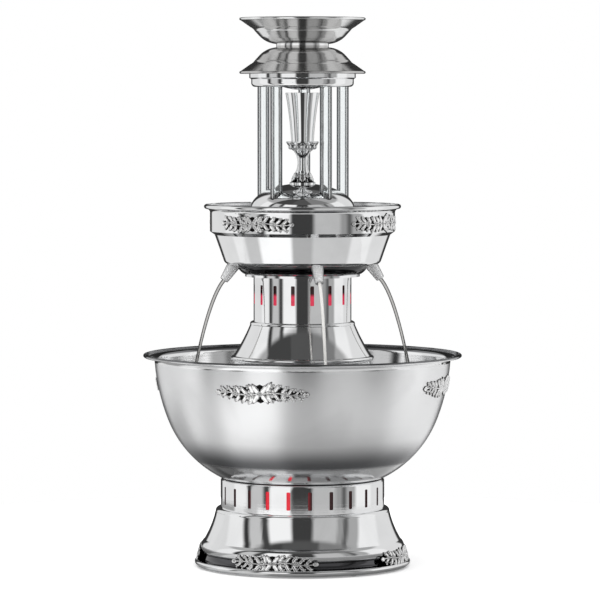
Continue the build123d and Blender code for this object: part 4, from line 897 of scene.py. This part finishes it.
def stem(casting, path, width, lift):
    """A half-round stem along a flat path."""
    rows = []
    for i, (along, up) in enumerate(path):
        before = path[max(0, i - 1)]
        after = path[min(len(path) - 1, i + 1)]
        heading = math.atan2(after[1] - before[1], after[0] - before[0])
        row = []
        for j in range(5):
            t = j / 2 - 1
            crest = math.sqrt(max(0.0, 1 - t * t))
            row.append((
                along - t * width / 2 * math.sin(heading),
                up + t * width / 2 * math.cos(heading),
                lift * crest,
                crest,
            ))
        rows.append(row)
    casting.grid(rows)


print("casting shapes: blossoms, berries and stems")

# %% [markdown]
# ### One spray, laid out flat
# Four broad leaves cross in the middle, and from there a vine runs out on each side with pairs of
# leaves, berries and three rosettes. A low backing joins them, as in a casting. The taper says how much
# smaller the leaves get towards the tips. The halves share one recipe, with small seeded differences.

# %% Spray layout
# How far each shape stands out from the sheet, in millimetres
stem_lift = 1.4
leaf_lift = 2.2
tip_lift = 1.9
berry_lift = 2.3
rosette_lift = 2.6
cross_lift = 2.3
middle_lift = 2.7
backing_steps = 20
vine_steps = 29
leaf_pairs = 5
# The angle of each leaf of the middle cross, in degrees, and how it bends
cross_leaves = ((52, 0.5), (128, -0.5), (232, 0.5), (308, -0.5))


def backing(casting, length, height, taper):
    """The low plate behind a spray, with a wavy edge."""
    rows = []
    for i in range(2 * backing_steps + 1):
        s = i / backing_steps - 1
        half = 0.42 * height * (1 - taper * s * s) * min(1.0, 6 * (1 - abs(s)) + 0.05)
        half *= 0.88 + 0.12 * math.cos(9 * math.pi * s)
        rows.append([(s * length * 0.46, t * half, 0.35 - 0.3 * t * t, 0.0) for t in (-1, -0.5, 0, 0.5, 1)])
    casting.grid(rows)


def berries(casting, along, up, height):
    """Three small beads in a cluster."""
    reach = 0.062 * height
    size = 0.058 * height
    for n in range(3):
        spot = 2.1 * n + 0.4
        berry(casting, along + reach * math.cos(spot), up + reach * math.sin(spot), size, berry_lift)


def half_spray(casting, length, height, taper, side, chance):
    """One half of a spray: a vine with rosettes, leaves and berries."""
    forward = 0.0 if side > 0 else math.pi
    vine = []
    for i in range(vine_steps + 1):
        s = i / vine_steps
        vine.append((side * length * (0.03 + 0.42 * s), side * 0.05 * height * math.sin(6 * s)))
    stem(casting, vine, 0.08 * height, stem_lift)
    for k in range(leaf_pairs):
        along, up = vine[int((0.13 + 0.17 * k) * vine_steps)]
        size = 0.54 * (1 - taper * 0.12 * k)
        for way in (-1, 1):
            angle = forward + side * way * math.radians(62 - 5 * k + chance.uniform(-10, 10))
            long = height * size * chance.uniform(0.88, 1.1)
            leaf(casting, along, up, angle, long, 0.45 * long, leaf_lift, bend=side * way * -0.7)
            berries(casting, along + side * 0.24 * height, up + way * 0.62 * size * height, height)
    for s, size in ((0.24, 0.25), (0.56, 0.21 - 0.05 * taper), (0.80, 0.17 - 0.06 * taper)):
        along, up = vine[int(s * vine_steps)]
        blossom(casting, along, up, size * height, rosette_lift, chance.uniform(0, 2), petals=6)
    along, up = vine[-1]
    reach = length * 0.5 - abs(along) + 0.1 * height
    leaf(casting, along - side * 0.1 * height, up, forward, reach, 0.26 * height, tip_lift)


def spray(length, height, taper, seed):
    """A floral spray of a given length and height, in flat coordinates."""
    chance = random.Random(seed)
    casting = Casting()
    backing(casting, length, height, taper)
    for side in (-1, 1):
        half_spray(casting, length, height, taper, side, chance)
    for angle, bend in cross_leaves:
        leaf(casting, 0, 0, math.radians(angle), 0.58 * height, 0.27 * height, cross_lift, bend=bend)
    blossom(casting, 0, 0, 0.14 * height, middle_lift)
    return casting


print("one spray:", len(spray(128, 29, 1.0, 1).points), "points")

# %% [markdown]
# ### Wrapped on the sheet
# A line of the sheet gives the distance from the axis at each height. The flat spray is laid on it at
# four places round the axis, and each set of four castings replaces its plain CAD solids.

# %% Lines of the sheet
def round_line(low, middle, high):
    """Distance from the axis by height on the round arc through three points."""
    (x1, y1), (x2, y2), (x3, y3) = low, middle, high
    d = 2 * (x1 * (y2 - y3) + x2 * (y3 - y1) + x3 * (y1 - y2))
    q1, q2, q3 = x1 * x1 + y1 * y1, x2 * x2 + y2 * y2, x3 * x3 + y3 * y3
    cx = (q1 * (y2 - y3) + q2 * (y3 - y1) + q3 * (y1 - y2)) / d
    cy = (q1 * (x3 - x2) + q2 * (x1 - x3) + q3 * (x2 - x1)) / d
    size = math.hypot(x1 - cx, y1 - cy)
    return lambda z: cx + math.sqrt(size * size - (z - cy) ** 2)


def straight_line(low, high):
    """Distance from the axis by height on a straight line."""
    lean = (high[0] - low[0]) / (high[1] - low[1])
    return lambda z: low[0] + (z - low[1]) * lean


print("lines: round and straight")

# %% Sprays in place
# The step in millimetres that gives the lean of a line, and how close, in metres, counts as one place
nudge = 0.1
same_place = 1e-6


def melt(mesh):
    """Join the points that share one place, so that no face is left without an area."""
    grown = bmesh.new()
    grown.from_mesh(mesh)
    bmesh.ops.remove_doubles(grown, verts=grown.verts, dist=same_place)
    bmesh.ops.dissolve_degenerate(grown, dist=same_place, edges=grown.edges)
    grown.to_mesh(mesh)
    grown.free()


def wrapped(name, castings, line, rise, turns, body, nodes=()):
    """Wrap flat castings on a line of the sheet at some turns, as one piece on a body."""
    verts, faces, relief = [], [], []
    middle = line(rise)
    for casting, turn in zip(castings, turns):
        first = len(verts)
        for along, up, out in casting.points:
            z = rise + up
            lean = (line(z + nudge) - line(z - nudge)) / (2 * nudge)
            square = math.hypot(1, lean)
            far = line(z) + out / square
            angle = math.radians(turn) + along / middle
            high = z - out * lean / square
            verts.append((far * math.sin(angle) / 1000, -far * math.cos(angle) / 1000, high / 1000))
        relief.extend(casting.relief)
        faces.extend(tuple(first + n for n in face) for face in casting.faces)
    piece = mesh_piece(name, verts, faces)
    crest = piece.data.attributes.new("relief", "FLOAT", "POINT")
    crest.data.foreach_set("value", relief)
    melt(piece.data)
    piece.data.materials.append(finish["chromed_casting"])
    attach(piece, body)
    if nodes:
        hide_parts(*nodes)


def set_of_four(name, length, height, taper, line, rise, turn, body, node):
    """Four sprays of one set round the axis."""
    castings = [spray(length, height, taper, 10 * rise + k) for k in range(4)]
    wrapped(name, castings, line, rise, [turn + 90 * k for k in range(4)], body, [node])


base_line = straight_line((139.0, 8.25), (132.6, 35.0))
bowl_line = round_line((177.6, 194.7), (189.2, 232.5), (195.0, 270.3))
tier_line = straight_line((121.8, 440.0), (121.8, 470.0))
set_of_four("base_sprays", 122, 25, 0.6, base_line, 18.2, -16.6, "base", "base_ornaments")
set_of_four("bowl_sprays", 128, 29, 1.0, bowl_line, 242.0, -16.4, "bowl", "bowl_ornaments")
set_of_four("tier_sprays", 116, 23.5, 0.2, tier_line, 454.8, -32.0, "tier", "tier_ornaments")
print("sprays: three sets of four")

# %% [markdown]
# ## Leaves on the vase
# The little vase under the crown stands on a turned foot. One ring of leaves hangs over the foot and
# another opens under the trumpet. They use the same leaf and the same wrap, on lines close to the foot.

# %% Vase leaves
def ring_of_leaves(name, count, line, rise, length, width, lift, heading):
    """Leaves round a turned line. A heading of 1 stands them up, and -1 hangs them down."""
    ring = Casting()
    middle = line(rise)
    root = -heading * length / 2
    angle = heading * math.pi / 2
    for k in range(count):
        place = 2 * math.pi * middle * k / count
        leaf(ring, place, root, angle, length, width, lift)
        between = place + math.pi * middle / count
        leaf(ring, between, root, angle, 0.6 * length, 0.6 * width, 0.7 * lift)
    wrapped(name, [ring], line, rise, [0], "tier")


calyx_line = round_line((7.6, 546.0), (16.8, 554.0), (21.3, 560.0))
ring_of_leaves("calyx_leaves", 8, calyx_line, 553.0, 13.0, 9.0, 1.3, 1)
foot_line = straight_line((16.6, 506.4), (9.4, 519.4))
ring_of_leaves("foot_leaves", 6, foot_line, 513.0, 12.6, 9.0, 1.6, -1)
print("vase: two rings of leaves")

# %% [markdown]
# ## The running drink
# Four thin streams leave the spouts, fall in a curve and meet the inner side of the bowl. A stream is
# a thin tube along the path of a thrown drop, and it narrows as it speeds up. It has left the spout with
# some speed outwards and some downwards. All are metres and seconds here.

# %% Streams
stream_start = 0.1055
stream_top = 0.3785
stream_speed = 0.320
stream_drop = 0.367
stream_time = 0.171
half_gravity = 4.9
stream_radius = 0.0026
stream_narrowing = 0.3
stream_steps = 24


def stream_piece(name, turns, paint):
    """Streams from the spouts at some turns, as one piece on the tier."""
    path = bpy.data.curves.new(name, "CURVE")
    path.dimensions = "3D"
    path.bevel_depth = stream_radius
    path.bevel_resolution = 3
    path.use_fill_caps = True
    for turn in turns:
        run = path.splines.new("POLY")
        run.points.add(stream_steps - 1)
        for i in range(stream_steps):
            share = i / (stream_steps - 1)
            t = stream_time * share
            far = stream_start + stream_speed * t
            high = stream_top - stream_drop * t - half_gravity * t * t
            run.points[i].co = (far * math.sin(turn), -far * math.cos(turn), high, 1)
            run.points[i].radius = 1.0 - stream_narrowing * share
    holder = bpy.data.objects.new(name + "_path", path)
    scene.collection.objects.link(holder)
    solved = holder.evaluated_get(bpy.context.evaluated_depsgraph_get())
    shape = bpy.data.meshes.new_from_object(solved)
    bpy.data.objects.remove(holder)
    piece = bpy.data.objects.new(name, shape)
    scene.collection.objects.link(piece)
    shape.polygons.foreach_set("use_smooth", [True] * len(shape.polygons))
    shape.materials.clear()
    shape.materials.append(paint)
    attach(piece, "tier")
    print(name + ":", len(shape.vertices), "points")


front_turn = math.radians(12)
stream_piece("front_stream", [front_turn], bubbly_drink)
stream_piece("clear_streams", [front_turn + math.pi / 2 * k for k in (1, 2, 3)], clear_drink)
